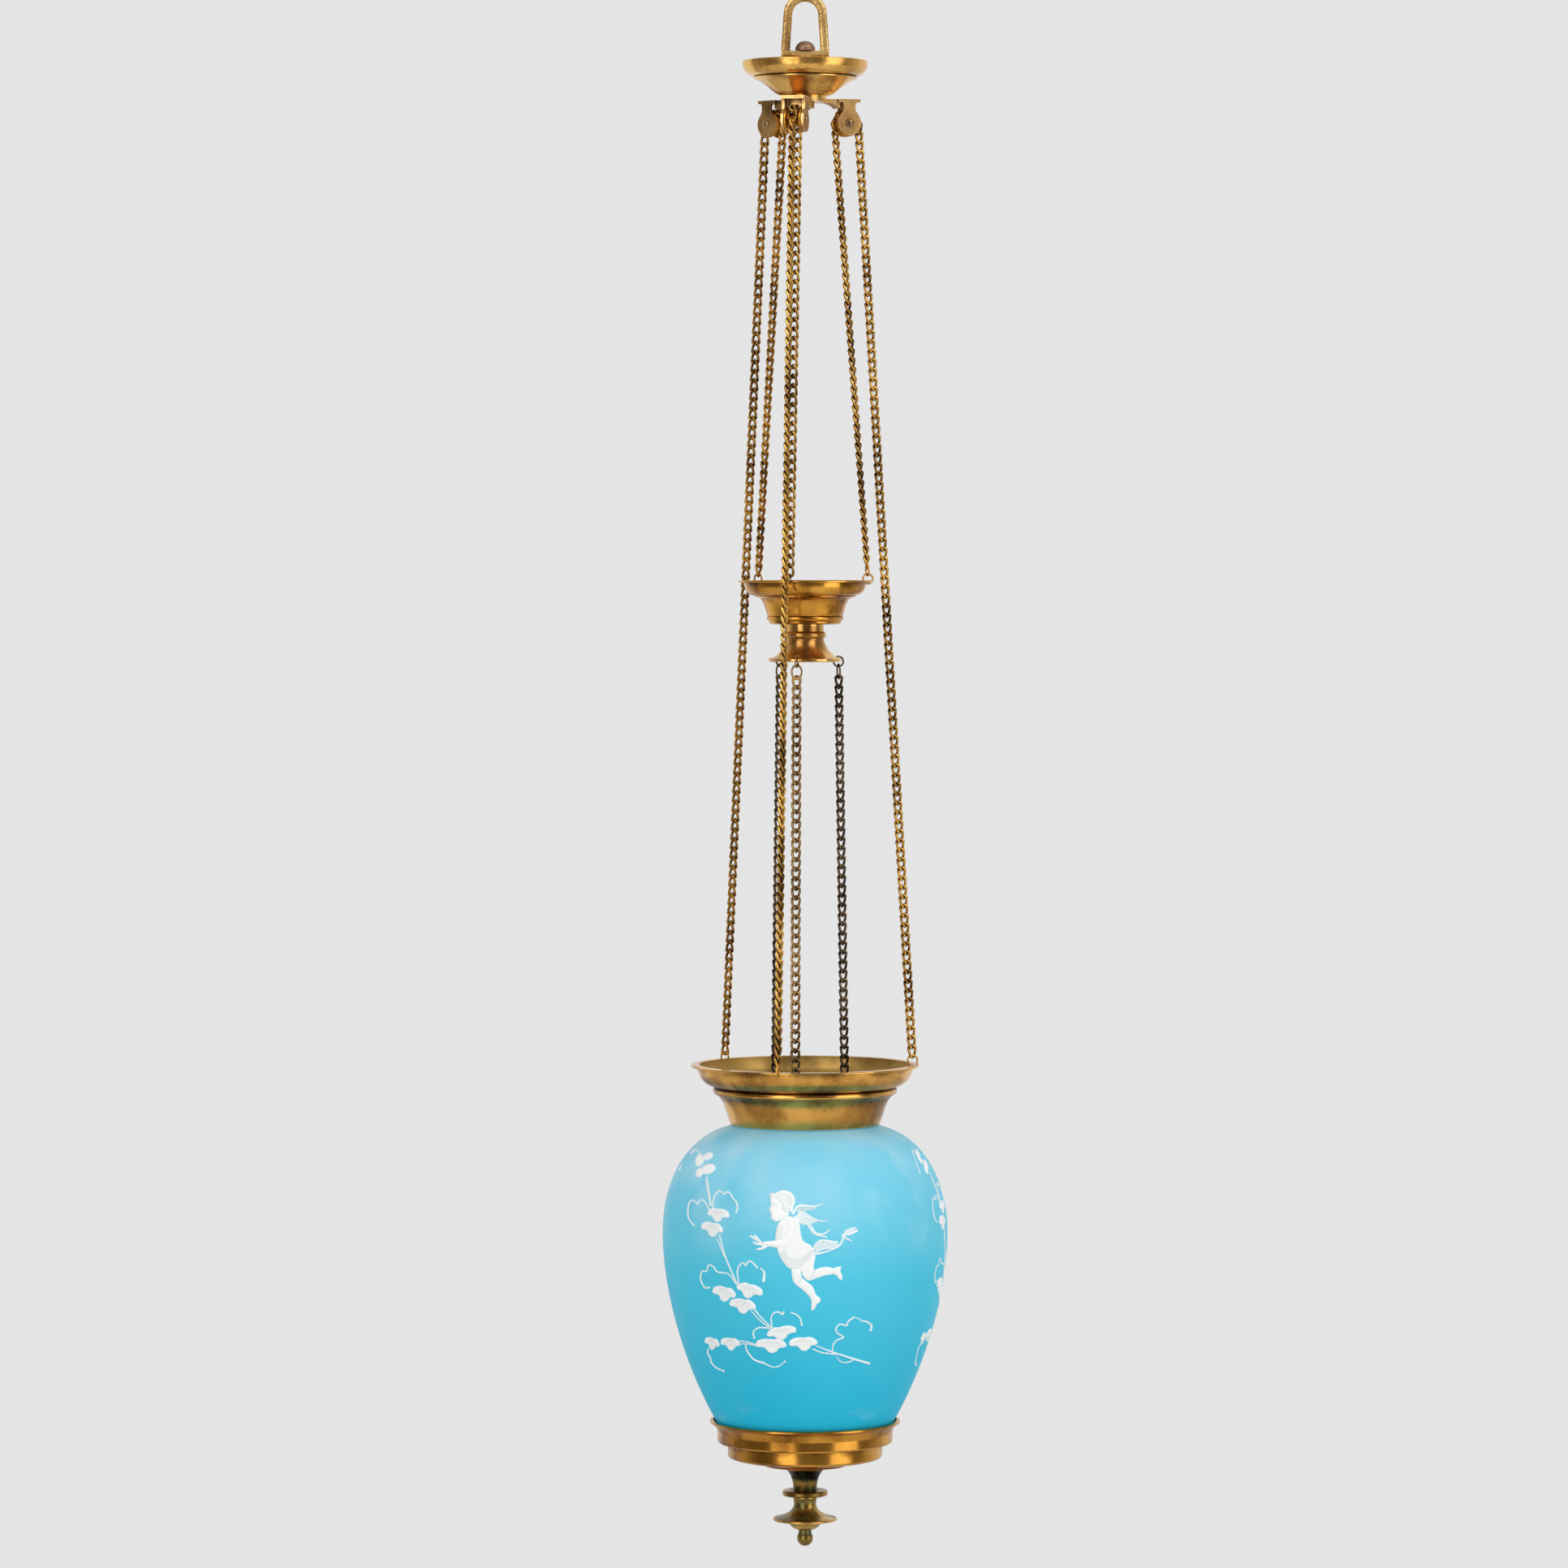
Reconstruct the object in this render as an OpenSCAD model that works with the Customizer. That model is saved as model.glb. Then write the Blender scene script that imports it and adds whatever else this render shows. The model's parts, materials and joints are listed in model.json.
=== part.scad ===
// Pull-down sanctuary lamp. A turned canopy carries three pulleys. Three chains balance the glass
// lamp against a turned counterweight, and the counterweight carries the candle cup in the glass.
// Sizes in millimetres. The origin is the inner top of the hanging loop, and +Z is up.

/* [Hanger] */
// Clear height inside the hanging loop
loop_clear = 28.9; // [20:0.2:40]
// Clear width inside the loop at its base bar
loop_gap = 18; // [12:0.5:26]
// Width of the loop's bar, seen from the front
loop_bar = 5.2; // [3:0.1:8]
// Diameter of the domed bolt head
bolt_head_d = 12; // [9:0.5:16]
// Diameter of the through bolt
bolt_d = 6; // [4:0.5:8]

/* [Canopy] */
// Diameter of the canopy rim
canopy_d = 74; // [60:1:100]
// Height of the canopy dish
canopy_h = 20.4; // [14:0.2:30]
// Wall of the spun brass shells
wall = 1.3; // [0.8:0.1:2]

/* [Pulleys] */
// Plan angle of the first of the three arms
arm_turn = 16; // [0:1:120]
// Distance of the pulley pins from the middle
pulley_reach = 25.4; // [24:0.2:30]
// Depth of the pulley pins below the arm plate
pulley_drop = 14; // [13.4:0.2:18]
// Diameter of the pulley flanges
pulley_d = 15.4; // [14:0.2:16]
// Width of a pulley
pulley_w = 10.4; // [9:0.2:12]
// Diameter of the pulley pins
pin_d = 3.2; // [2.4:0.1:4]

/* [Chain] */
// Pitch of the chain links
link_pitch = 5.6; // [5.2:0.1:6]
// Outer width of a chain link
link_w = 5.4; // [5:0.1:5.8]
// Thickness of the link wire
wire = 1.4; // [1.2:0.1:1.5]
// Middle radius of the end rings
ring_r = 3; // [2.6:0.1:3.4]
// Wire of the end rings
ring_wire = 1.1; // [0.9:0.1:1.3]

/* [Counterweight] */
// Depth of the counterweight rim below the origin
weight_drop = 340.8; // [300:1:400]
// Diameter of the counterweight rim
weight_d = 79.6; // [72:0.2:90]
// Height of the counterweight bowl
weight_h = 26; // [22:0.5:32]
// Diameter of the foot flange
foot_d = 43.2; // [38:0.2:50]
// Height of the foot
foot_h = 22.1; // [18:0.1:28]

/* [Lamp] */
// Depth of the crown rim below the origin
lamp_drop = 627.4; // [580:1:720]
// Diameter of the crown rim
crown_d = 135.4; // [126:0.2:150]
// Height of the crown ring
crown_h = 35.3; // [30:0.1:42]
// Diameter of the crown skirt where it meets the glass
skirt_d = 88.8; // [84:0.2:94]
// Largest diameter of the glass
glass_d = 169; // [150:1:190]
// Height of the glass below the crown skirt
glass_h = 186.8; // [160:0.2:220]
// Wall of the glass
glass_wall = 2.6; // [2:0.1:4]
// Diameter of the base cup's lip
base_d = 112.8; // [108:0.2:120]

/* [Finial] */
// Diameter of the rose plate under the base cup
rose_d = 50; // [40:0.5:56]
// Diameter of the finial's saucer
saucer_d = 38.4; // [30:0.2:46]
// Diameter of the ball tip
tip_d = 9.6; // [7:0.2:12]

/* [Candle cup] */
// Diameter of the candle dish
dish_d = 57.4; // [52:0.2:62]
// Bore of the candle socket
candle_d = 22.5; // [20:0.5:25]
// Depth of the candle socket
socket_depth = 20; // [14:0.5:26]
// Height of the dish above the floor of the base cup
dish_lift = 11; // [9:0.5:20]

/* [Hidden] */
right = arm_turn;
front = arm_turn - 120;
left = arm_turn + 120;
bolt_r = bolt_d/2;
pin_r = pin_d/2;
run_gap = 0.05;

// Hanger levels
bar_t = 3.4;
bar_z = -loop_clear;
rim_z = bar_z - bar_t - 2.6;
dish_z = rim_z - canopy_h;
collar_t = 1.9;
plate_z = dish_z - collar_t;
plate_t = 1.8;
pulley_z = plate_z - pulley_drop;
cheek_t = 1.5;
cheek_gap = pulley_w + 0.4;
cheek_r = 7.1;
ear = 6.7;

// Chain: a link's inner length leaves this much play at each joint
slack = 0.6;
bend_r = (link_w - wire)/2;
half_leg = (link_pitch + slack + wire)/2 - bend_r;
wrap_links = 4;
wrap_step = 180/wrap_links;
joint_r = link_pitch/2/sin(wrap_step/2);
apothem = joint_r*cos(wrap_step/2);
groove_r = apothem - (link_w + wire)/2*sin(45) - 0.15;
ring_play = 0.3;
ring_hook = ring_r - ring_wire/2 - ring_play + slack/2;
lip_t = 1.3;
hole_r = 1.4;

// Counterweight levels
weight_r = weight_d/2;
foot_r = foot_d/2;
foot_z = -weight_drop - weight_h;
flange_z = foot_z - 0.9*foot_h;
stud_r = 3;

// Lamp levels
crown_r = crown_d/2;
skirt_r = skirt_d/2;
neck_r = skirt_r - wall - 0.5;
glass_r = glass_d/2;
base_r = base_d/2;
skirt_z = -lamp_drop - crown_h;
glass_z = skirt_z - glass_h;
bed_t = 1.2;
lip_z = glass_z + 10.7;
tier1_r = base_r - 4.4;
tier2_r = base_r - 10.5;
ledge_z = glass_z - bed_t;
tier1_z = ledge_z - wall;
tier2_z = tier1_z - 9.2;
rose_z = tier2_z - 3.8;
floor_z = rose_z + wall + 0.2;
rose_r = rose_d/2;
neck_z = rose_z - 2.2;
collar_z = neck_z - 13.8;
knob_z = collar_z - 3.6;
saucer_z = knob_z - 13.5;
saucer_r = saucer_d/2;
tip_r = tip_d/2;
tip_z = saucer_z - 11.4;
fin_r = 2.5;

// Candle cup levels
dish_r = dish_d/2;
dish_h = 12;
cup_z = floor_z + dish_lift + dish_h;
socket_r = candle_d/2 + 1.4;

// A point of the Bezier curve with control points p, and the whole curve in n steps
function bez_at(p, t) =
  len(p) == 1 ? p[0] : bez_at([for (i = [0:len(p) - 2]) p[i]*(1 - t) + p[i + 1]*t], t);
function curve(p, n = 8) = [for (i = [0:n]) bez_at(p, i/n)];
// Two outlines in a row, without a doubled point where they meet
function join(a, b) =
  norm(a[len(a) - 1] - b[0]) < 0.01 ? concat(a, [for (i = [1:len(b) - 1]) b[i]]) : concat(a, b);
function flip(p) = [for (i = [len(p) - 1:-1:0]) p[i]];
// Points given as fractions of a radius and a height
function sized(p, r, h) = [for (q = p) [q[0]*r, q[1]*h]];
// The outline moved towards the axis by d, mitred where it bends
function side_of(a, b) = [b[1] - a[1], a[0] - b[0]]/norm(b - a);
function inset(p, d) = [
  for (i = [0:len(p) - 1])
    let (
      u = side_of(p[max(i - 1, 0)], p[max(i, 1)]),
      v = side_of(p[min(i, len(p) - 2)], p[min(i + 1, len(p) - 1)]),
      m = (u + v)/norm(u + v)
    )
    p[i] + m*d/max(m*u, 0.5)
];

module lathe(p) rotate_extrude($fn = 96) polygon(p);
module torus(r, d) rotate_extrude($fn = 48) translate([r, 0]) circle(d = d, $fn = 24);
module tube(h, r, bore) difference() {
  cylinder(h, r = r, $fn = 64);
  translate([0, 0, -1]) cylinder(h + 2, r = bore, $fn = 48);
}
// A domed cap of base radius r and height h, standing on the XY plane
module dome(r, h) lathe(join(curve([[r, 0], [r, 0.6*h], [0.6*r, h], [0, h]]), [[0, 0]]));
module hex_nut(across, h, bore) difference() {
  cylinder(h, r = across/sqrt(3), $fn = 6);
  translate([0, 0, -1]) cylinder(h + 2, r = bore, $fn = 48);
}

// Hanger: the loop, its bolt, and what the bolt clamps
module loop_section() {
  b = loop_bar/2;
  corner = [[b, 1.2], [b - 0.9, 2.2], [0.9 - b, 2.2], [-b, 1.2]];
  polygon(concat(corner, -corner));
}
module hanging_loop() color("goldenrod") {
  pinch = 1.4;
  mid_r = (loop_gap + loop_bar)/2 - pinch;
  arch_z = loop_bar/2 - mid_r;
  lean = atan(pinch/(loop_clear + arch_z));
  leg = (loop_clear + arch_z + bar_t/2)/cos(lean);
  translate([0, 0, arch_z]) rotate([90, 0, 0]) rotate(-lean)
    rotate_extrude(angle = 180 + 2*lean, $fn = 72) translate([mid_r, 0]) loop_section();
  for (s = [0, 180]) rotate(s) translate([0, 0, arch_z]) rotate([0, -lean, 0]) translate([mid_r, 0, -leg])
    linear_extrude(leg) loop_section();
  translate([0, 0, bar_z - bar_t]) difference() {
    translate([-loop_gap/2 - loop_bar, -4, 0]) cube([loop_gap + 2*loop_bar, 8, bar_t]);
    translate([0, 0, -1]) cylinder(bar_t + 2, r = bolt_r, $fn = 48);
  }
}
nut_h = 3.8;
module loop_bolt() color("sienna") {
  end = plate_z - plate_t - nut_h - 0.8;
  translate([0, 0, bar_z]) dome(bolt_head_d/2, 5.8);
  translate([0, 0, end]) cylinder(bar_z - end + 0.5, r = bolt_r, $fn = 48);
}
module spacer_sleeve() color("darkgoldenrod")
  translate([0, 0, dish_z + wall]) tube(bar_z - bar_t - dish_z - wall, bolt_r + 2.6, bolt_r);
module canopy() color("goldenrod") translate([0, 0, rim_z]) {
  upper = curve([[1, -0.09], [0.99, -0.29], [0.93, -0.39], [0.827, -0.446]]);
  cove = curve([[0.8, -0.515], [0.66, -0.62], [0.6, -0.75], [0.47, -0.93]]);
  rim = [[0.985, 0], [1, -0.02]];
  step = [[0.8, -0.452], [0.822, -0.47], [0.822, -0.505]];
  outer = sized(concat(rim, upper, step, cove, [[0.39, -1]]), canopy_d/2, canopy_h);
  inner = inset(sized(concat([[1, 0]], upper, cove, [[0.42, -0.975]]), canopy_d/2, canopy_h), wall);
  middle = [[bolt_r, -canopy_h], [bolt_r, wall - canopy_h], [0.3*canopy_d/2, wall - canopy_h]];
  lathe(concat(outer, middle, flip(inner)));
}
module canopy_collar() color("darkgoldenrod") translate([0, 0, plate_z]) tube(collar_t, 12.6, bolt_r);
module bolt_nut() color("darkgoldenrod")
  translate([0, 0, plate_z - plate_t - nut_h]) hex_nut(bolt_d + 3.6, nut_h, bolt_r);

// Pulleys: a plate with three yokes, and a grooved pulley on a pin in each
module cheek() {
  end = cheek_r*[cos(42), sin(42)];
  edge = curve([[ear, pulley_drop], [0.46*ear, 0.93*pulley_drop], [0.36*ear, 0.56*pulley_drop], end], 10);
  rotate([90, 0, 0]) linear_extrude(cheek_t, center = true) difference() {
    union() {
      circle(cheek_r, $fn = 64);
      polygon(concat([[0, 0]], flip(edge), [for (q = edge) [-q[0], q[1]]]));
    }
    circle(pin_r, $fn = 48);
  }
}
module yoke() {
  half = cheek_gap/2 + cheek_t;
  inner = pulley_reach - ear;
  web = curve([[0.42*inner, -plate_t], [0.75*inner, -plate_t], [0.93*inner, -plate_t - 1.2],
    [inner, -plate_t - 3.4]]);
  translate([6, -4.5, plate_z - plate_t]) cube([pulley_reach - 6, 9, plate_t]);
  translate([inner, -half, plate_z - plate_t]) cube([2*ear, 2*half, plate_t]);
  translate([0, 0, plate_z]) rotate([90, 0, 0]) linear_extrude(cheek_gap, center = true)
    polygon(concat(web, [[inner + 1.2, -plate_t - 3.4], [inner + 1.2, -0.1], [0.42*inner, -0.1]]));
  for (s = [-1, 1]) translate([pulley_reach, s*(cheek_gap + cheek_t)/2, pulley_z]) cheek();
}
module pulley_bracket() color("goldenrod") difference() {
  union() {
    for (t = [right, front, left]) rotate(t) yoke();
    translate([0, 0, plate_z - plate_t]) cylinder(plate_t, r = 12.6, $fn = 64);
  }
  translate([0, 0, plate_z - plate_t - 1]) cylinder(plate_t + 2, r = bolt_r, $fn = 48);
}
module at_pulley(t) rotate(t) translate([pulley_reach, 0, pulley_z]) rotate([90, 0, 0]) children();
module pin() color("darkgoldenrod") {
  half = cheek_gap/2 + cheek_t;
  cylinder(2*half, r = pin_r, center = true, $fn = 48);
  for (s = [0, 180]) rotate([s, 0, 0]) translate([0, 0, half]) dome(2.6, 1.5);
}
module pulley() color("darkgoldenrod") {
  h = pulley_w/2;
  r = pulley_d/2;
  bore = pin_r + run_gap;
  lathe([[bore, -h], [r - 0.5, -h], [r, 0.5 - h], [r, 1.3 - h], [groove_r, 2.6 - h], [groove_r, h - 2.6],
    [r, h - 1.3], [r, h - 0.5], [r - 0.5, h], [bore, h]]);
}
module pin_right() at_pulley(right) pin();
module pin_front() at_pulley(front) pin();
module pin_left() at_pulley(left) pin();
module pulley_right() at_pulley(right) pulley();
module pulley_front() at_pulley(front) pulley();
module pulley_left() at_pulley(left) pulley();

// Chain: oval links, each turned a quarter from the one before
module oval(r) {
  square([2*r, 2*half_leg], center = true);
  for (s = [-1, 1]) translate([0, s*half_leg]) circle(r, $fn = 24);
}
module link(odd) rotate(odd ? -45 : 45) rotate([90, 0, 0]) linear_extrude(wire, center = true) difference() {
  oval(bend_r + wire/2);
  oval(bend_r - wire/2);
}
// A straight length between two joints, given as [distance from the axis, height]
module strand(p, q) {
  n = round(norm(q - p)/link_pitch);
  lean = atan2(p[0] - q[0], p[1] - q[1]);
  for (i = [0:n - 1]) {
    at = p + (q - p)*(i + 0.5)/n;
    translate([at[0], 0, at[1]]) rotate([0, lean, 0]) link(i % 2 == 1);
  }
}
module end_ring(p) translate([p[0], 0, p[1]]) rotate([90, 0, 0]) torus(ring_r, ring_wire);
// Where a ring hangs in the lip of a turned piece, and the joint on it towards another point
function ring_at(edge, z) = [edge - 1, z];
function hook(c, to) = c + (to - c)/norm(to - c)*ring_hook;
module lip_holes(edge, z, t) for (a = [right, front, left]) rotate(a)
  translate([edge - 3.4, 0, z - t - 0.05]) cylinder(t + 4, r = hole_r, $fn = 32);
// A ring rests on the two edges of the lip, which stand this far to each side of its middle
rest = 1.05;
under = sqrt(pow(ring_r - ring_wire/2, 2) - rest*rest) - run_gap;
lamp_ring = ring_at(crown_r, -lamp_drop - lip_t + under);
weight_ring = ring_at(weight_r, -weight_drop - lip_t + under);
foot_ring = ring_at(foot_r, flange_z - under);
dish_ring = ring_at(dish_r, cup_z - lip_t + under);
// A straight length starts a little above the pin, so that its first link clears the bend
tuck = 0.15;
outer_joint = [pulley_reach + joint_r, pulley_z + tuck];
inner_joint = [pulley_reach - joint_r, pulley_z + tuck];

module chain_wrap(t) color("gold") rotate(t) translate([pulley_reach, 0, pulley_z])
  for (i = [0:wrap_links - 1]) rotate([0, -(i + 0.5)*wrap_step, 0]) translate([apothem, 0, 0])
    link(i % 2 == 0);
module lift_chain(t) color("gold") rotate(t) {
  strand(outer_joint, hook(lamp_ring, outer_joint));
  end_ring(lamp_ring);
}
module weight_chain(t) color("gold") rotate(t) {
  strand(inner_joint, hook(weight_ring, inner_joint));
  end_ring(weight_ring);
}
module candle_chain(t) color("dimgray") rotate(t) {
  strand(hook(foot_ring, dish_ring), hook(dish_ring, foot_ring));
  end_ring(foot_ring);
  end_ring(dish_ring);
}
module chain_wrap_right() chain_wrap(right);
module chain_wrap_front() chain_wrap(front);
module chain_wrap_left() chain_wrap(left);
module lift_chain_right() lift_chain(right);
module lift_chain_front() lift_chain(front);
module lift_chain_left() lift_chain(left);
module weight_chain_right() weight_chain(right);
module weight_chain_front() weight_chain(front);
module weight_chain_left() weight_chain(left);
module candle_chain_right() candle_chain(right);
module candle_chain_front() candle_chain(front);
module candle_chain_left() candle_chain(left);

// Counterweight: a bowl full of lead, closed by a plate, over a turned foot
bowl_upper = curve([[0.91, -0.05], [0.9, -0.25], [0.84, -0.335], [0.755, -0.345]], 6);
bowl_step = [[0.755, -0.37], [0.73, -0.375]];
bowl_cove = curve([[0.715, -0.385], [0.63, -0.41], [0.61, -0.54], [0.562, -0.8]]);
bowl_bead = curve([[0.55, -0.815], [0.58, -0.825], [0.58, -0.9], [0.55, -0.91]], 6);
bowl_base = [[0.535, -0.925], [0.535, -0.97], [0.5, -1]];
bowl_core = concat([[0.91, 0]], bowl_upper, bowl_cove, [[0.55, -0.815], [0.535, -0.93]]);
bowl_inner = inset(sized(bowl_core, weight_r, weight_h), wall);
cover_z = -0.12*weight_h;
lead_z = cover_z - 1.2;
// The bowl's inner outline below a level
function bowl_below(z) = [for (q = bowl_inner) if (q[1] < z) q];
function bowl_r(z) = lookup(-z, [for (q = bowl_inner) [-q[1], q[0]]]);
module counterweight_bowl() color("goldenrod") translate([0, 0, -weight_drop]) difference() {
  lathe(concat(
    [[weight_r - 0.4, 0], [weight_r, -0.4], [weight_r, 0.4 - lip_t], [weight_r - 0.4, -lip_t]],
    sized(concat(bowl_upper, bowl_step, bowl_cove, bowl_bead, bowl_base), weight_r, weight_h),
    [[stud_r, -weight_h], [stud_r, bowl_inner[len(bowl_inner) - 1][1]]],
    flip(bowl_inner)
  ));
  lip_holes(weight_r, 0, lip_t);
}
module ballast() color("slategray") translate([0, 0, -weight_drop]) lathe(concat(
  [[stud_r, lead_z], [bowl_r(lead_z), lead_z]], bowl_below(lead_z),
  [[stud_r, bowl_inner[len(bowl_inner) - 1][1]]]
));
module ballast_cover() color("goldenrod") translate([0, 0, -weight_drop])
  lathe([[stud_r, cover_z], [bowl_r(cover_z), cover_z], [bowl_r(lead_z), lead_z], [stud_r, lead_z]]);
module counterweight_foot() color("goldenrod") difference() {
  translate([0, 0, foot_z]) lathe(concat(
    sized(concat(
      [[0.514, 0], [0.51, -0.19]],
      curve([[0.52, -0.2], [0.6, -0.21], [0.6, -0.36], [0.52, -0.37]], 6),
      curve([[0.51, -0.4], [0.55, -0.58], [0.7, -0.78], [0.89, -0.89]]),
      [[0.975, -0.9], [1, -0.925], [1, -0.975], [0.98, -1], [0.8, -1]]
    ), foot_r, foot_h),
    [[8, -0.8*foot_h], [stud_r, -0.8*foot_h], [stud_r, 0]]
  ));
  lip_holes(foot_r, flange_z, 0.1*foot_h);
}
module counterweight_stud() color("darkgoldenrod") {
  top = cover_z - weight_drop;
  end = foot_z - 0.8*foot_h - 4.6;
  translate([0, 0, top]) dome(5.4, 3);
  translate([0, 0, end]) cylinder(top - end + 0.2, r = stud_r, $fn = 48);
}
module foot_nut() color("darkgoldenrod") translate([0, 0, foot_z - 0.8*foot_h - 4]) hex_nut(10, 4, stud_r);

// Candle cup, on the sooted chains
module candle_dish() color("darkgoldenrod") translate([0, 0, cup_z]) difference() {
  bowl = curve([[dish_r - 3.9, -lip_t], [dish_r - 4.2, -7], [dish_r - 10, -8.4], [socket_r + 1.2, -9.4]]);
  lathe(concat(
    [[dish_r, 0], [dish_r, -lip_t]], bowl, [[10.5, -dish_h], [2, -dish_h], [2, 1.4 - 9.4]],
    flip(inset(concat([[dish_r - 3.9, 0]], bowl), 1.4))
  ));
  lip_holes(dish_r, 0, lip_t);
}
socket_z = cup_z - 8;
module candle_socket() color("goldenrod") translate([0, 0, socket_z]) difference() {
  union() {
    cylinder(socket_depth + 2, r = socket_r, $fn = 64);
    translate([0, 0, socket_depth]) cylinder(2, r = socket_r + 1.2, $fn = 64);
  }
  translate([0, 0, 2]) cylinder(socket_depth + 1, d = candle_d, $fn = 64);
  translate([0, 0, -1]) cylinder(4, r = 2, $fn = 32);
}
module socket_screw() color("dimgray") {
  translate([0, 0, cup_z - dish_h]) cylinder(dish_h - 8 + 2, r = 2, $fn = 32);
  translate([0, 0, cup_z - dish_h]) mirror([0, 0, 1]) dome(4, 2);
}

// Lamp: crown ring, glass, base cup and finial
crown_bowl = curve([[0.945, -0.037], [0.94, -0.24], [0.87, -0.33], [0.8, -0.375]]);
crown_bead = curve([[0.79, -0.385], [0.815, -0.4], [0.815, -0.48], [0.78, -0.5]], 6);
crown_top = sized(concat(crown_bowl, crown_bead), crown_r, crown_h);
crown_skirt = curve([
  [0.78*crown_r, -0.5*crown_h], [skirt_r + 4, -0.56*crown_h],
  [skirt_r + 3.2, -0.76*crown_h], [skirt_r, -crown_h]
]);
crown_core = concat([[0.945*crown_r, 0]], sized(crown_bowl, crown_r, crown_h), crown_skirt);
crown_inner = inset(crown_core, wall);
bed_top = -0.68*crown_h;
module crown_ring() color("goldenrod") translate([0, 0, -lamp_drop]) difference() {
  lathe(concat(
    [[crown_r - 0.4, 0], [crown_r, -0.4], [crown_r, 0.4 - lip_t], [crown_r - 0.4, -lip_t]],
    crown_top, crown_skirt, flip(crown_inner)
  ));
  lip_holes(crown_r, 0, lip_t);
}
skirt_inner = [for (q = crown_inner) if (q[1] < bed_top && q[1] > 3.6 - crown_h) q];
module crown_bed() color("gainsboro") translate([0, 0, -lamp_drop])
  lathe(concat(skirt_inner, [[neck_r, skirt_inner[len(skirt_inner) - 1][1]], [neck_r, skirt_inner[0][1]]]));
// The glass outline, from the neck down to the foot, with heights from the skirt's edge
glass_neck = curve([[neck_r, 0.6], [neck_r, -0.9], [neck_r + 1.8, -1.3], [skirt_r + 3.6, -2.5]], 8);
glass_shoulder = curve([
  [skirt_r + 3.6, -2.5], [skirt_r + 0.64*(glass_r - skirt_r), -0.047*glass_h],
  [glass_r, -0.178*glass_h], [glass_r, -0.344*glass_h]
], 14);
glass_foot_r = tier1_r - 5.4;
foot_slope = 0.656;
glass_body = curve([
  [glass_r, -0.344*glass_h], [glass_r, -0.564*glass_h],
  [glass_foot_r + foot_slope*0.17*glass_h, -0.83*glass_h], [glass_foot_r, -glass_h]
], 16);
glass_line = join(join(concat([[neck_r, 0.37*crown_h]], glass_neck), glass_shoulder), glass_body);
glass_inner = inset(glass_line, glass_wall);
function level_end(p, z) = [for (i = [0:len(p) - 1]) i == len(p) - 1 ? [p[i][0], z] : p[i]];
module glass_vase() color("mediumturquoise") translate([0, 0, skirt_z])
  lathe(concat(glass_line, flip(level_end(glass_inner, -glass_h))));
module base_bed() color("gainsboro") translate([0, 0, ledge_z]) lathe([
  [tier2_r - wall + 0.4, 0], [tier1_r - wall, 0], [tier1_r - wall, bed_t + 1.4],
  [tier1_r - 3.6, bed_t], [tier2_r - wall + 0.4, bed_t]
]);
module base_cup() color("goldenrod") {
  flare = curve([
    [base_r - 0.8, lip_z - 1.9], [base_r - 2.8, lip_z - 2.6],
    [tier1_r + 0.5, lip_z - 4.4], [tier1_r, lip_z - 7.4]
  ]);
  under_cup = curve([
    [tier2_r, tier2_z + 1.6], [tier2_r, tier2_z - 1.4], [0.6*base_r, tier2_z - 1], [rose_r, rose_z]
  ]);
  lathe(concat(
    [[base_r - 0.9, lip_z], [base_r, lip_z - 0.4], [base_r, lip_z - 1.4]], flare,
    [[tier1_r, tier1_z + 0.9], [tier1_r - 0.9, tier1_z], [tier2_r, tier1_z]], under_cup,
    [[fin_r, rose_z], [fin_r, floor_z], [rose_r - 1, floor_z]], flip(inset(under_cup, wall)),
    [[tier2_r - wall, ledge_z], [tier1_r - wall, ledge_z]],
    flip(inset(concat([[base_r - 0.6, lip_z]], flare), wall))
  ));
}
module rose_plate() color("peru") lathe([
  [fin_r, rose_z], [rose_r - 0.6, rose_z], [rose_r, rose_z - 0.8], [0.576*rose_r, neck_z], [fin_r, neck_z]
]);
module finial_neck() color("goldenrod") lathe(concat(
  [[fin_r, neck_z], [13.4, neck_z], [13.4, neck_z - 0.4]],
  curve([[12.6, neck_z - 0.5], [8, neck_z - 3], [7.4, neck_z - 8], [6.9, collar_z + 0.6]]),
  [[12.6, collar_z], [13.5, collar_z - 0.6], [13.5, collar_z - 2.4], [12.8, knob_z + 0.6]],
  [[9, knob_z], [fin_r, knob_z]]
));
module finial_knob() color("goldenrod") difference() {
  tip = [for (a = [35:-12.5:-90]) [tip_r*cos(a), tip_z + tip_r*sin(a)]];
  lathe(concat(
    [[0, knob_z], [7.2, knob_z]],
    curve([[7.2, knob_z - 0.8], [5.4, knob_z - 6], [7, knob_z - 10.5], [saucer_r - 0.5, saucer_z + 0.7]]),
    [[saucer_r, saucer_z], [saucer_r - 0.5, saucer_z - 0.7]],
    curve([
      [0.6*saucer_r, saucer_z - 1.6], [9.4, saucer_z - 2], [9, saucer_z - 5.4], [3.8, saucer_z - 6.6]
    ]),
    tip
  ));
  translate([0, 0, knob_z - 9]) cylinder(10, r = fin_r, $fn = 32);
}
module finial_stud() color("dimgray")
  translate([0, 0, knob_z - 9]) cylinder(floor_z - knob_z + 14, r = fin_r, $fn = 32);
module finial_nut() color("darkgoldenrod") translate([0, 0, floor_z]) hex_nut(10, 4, fin_r);

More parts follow.
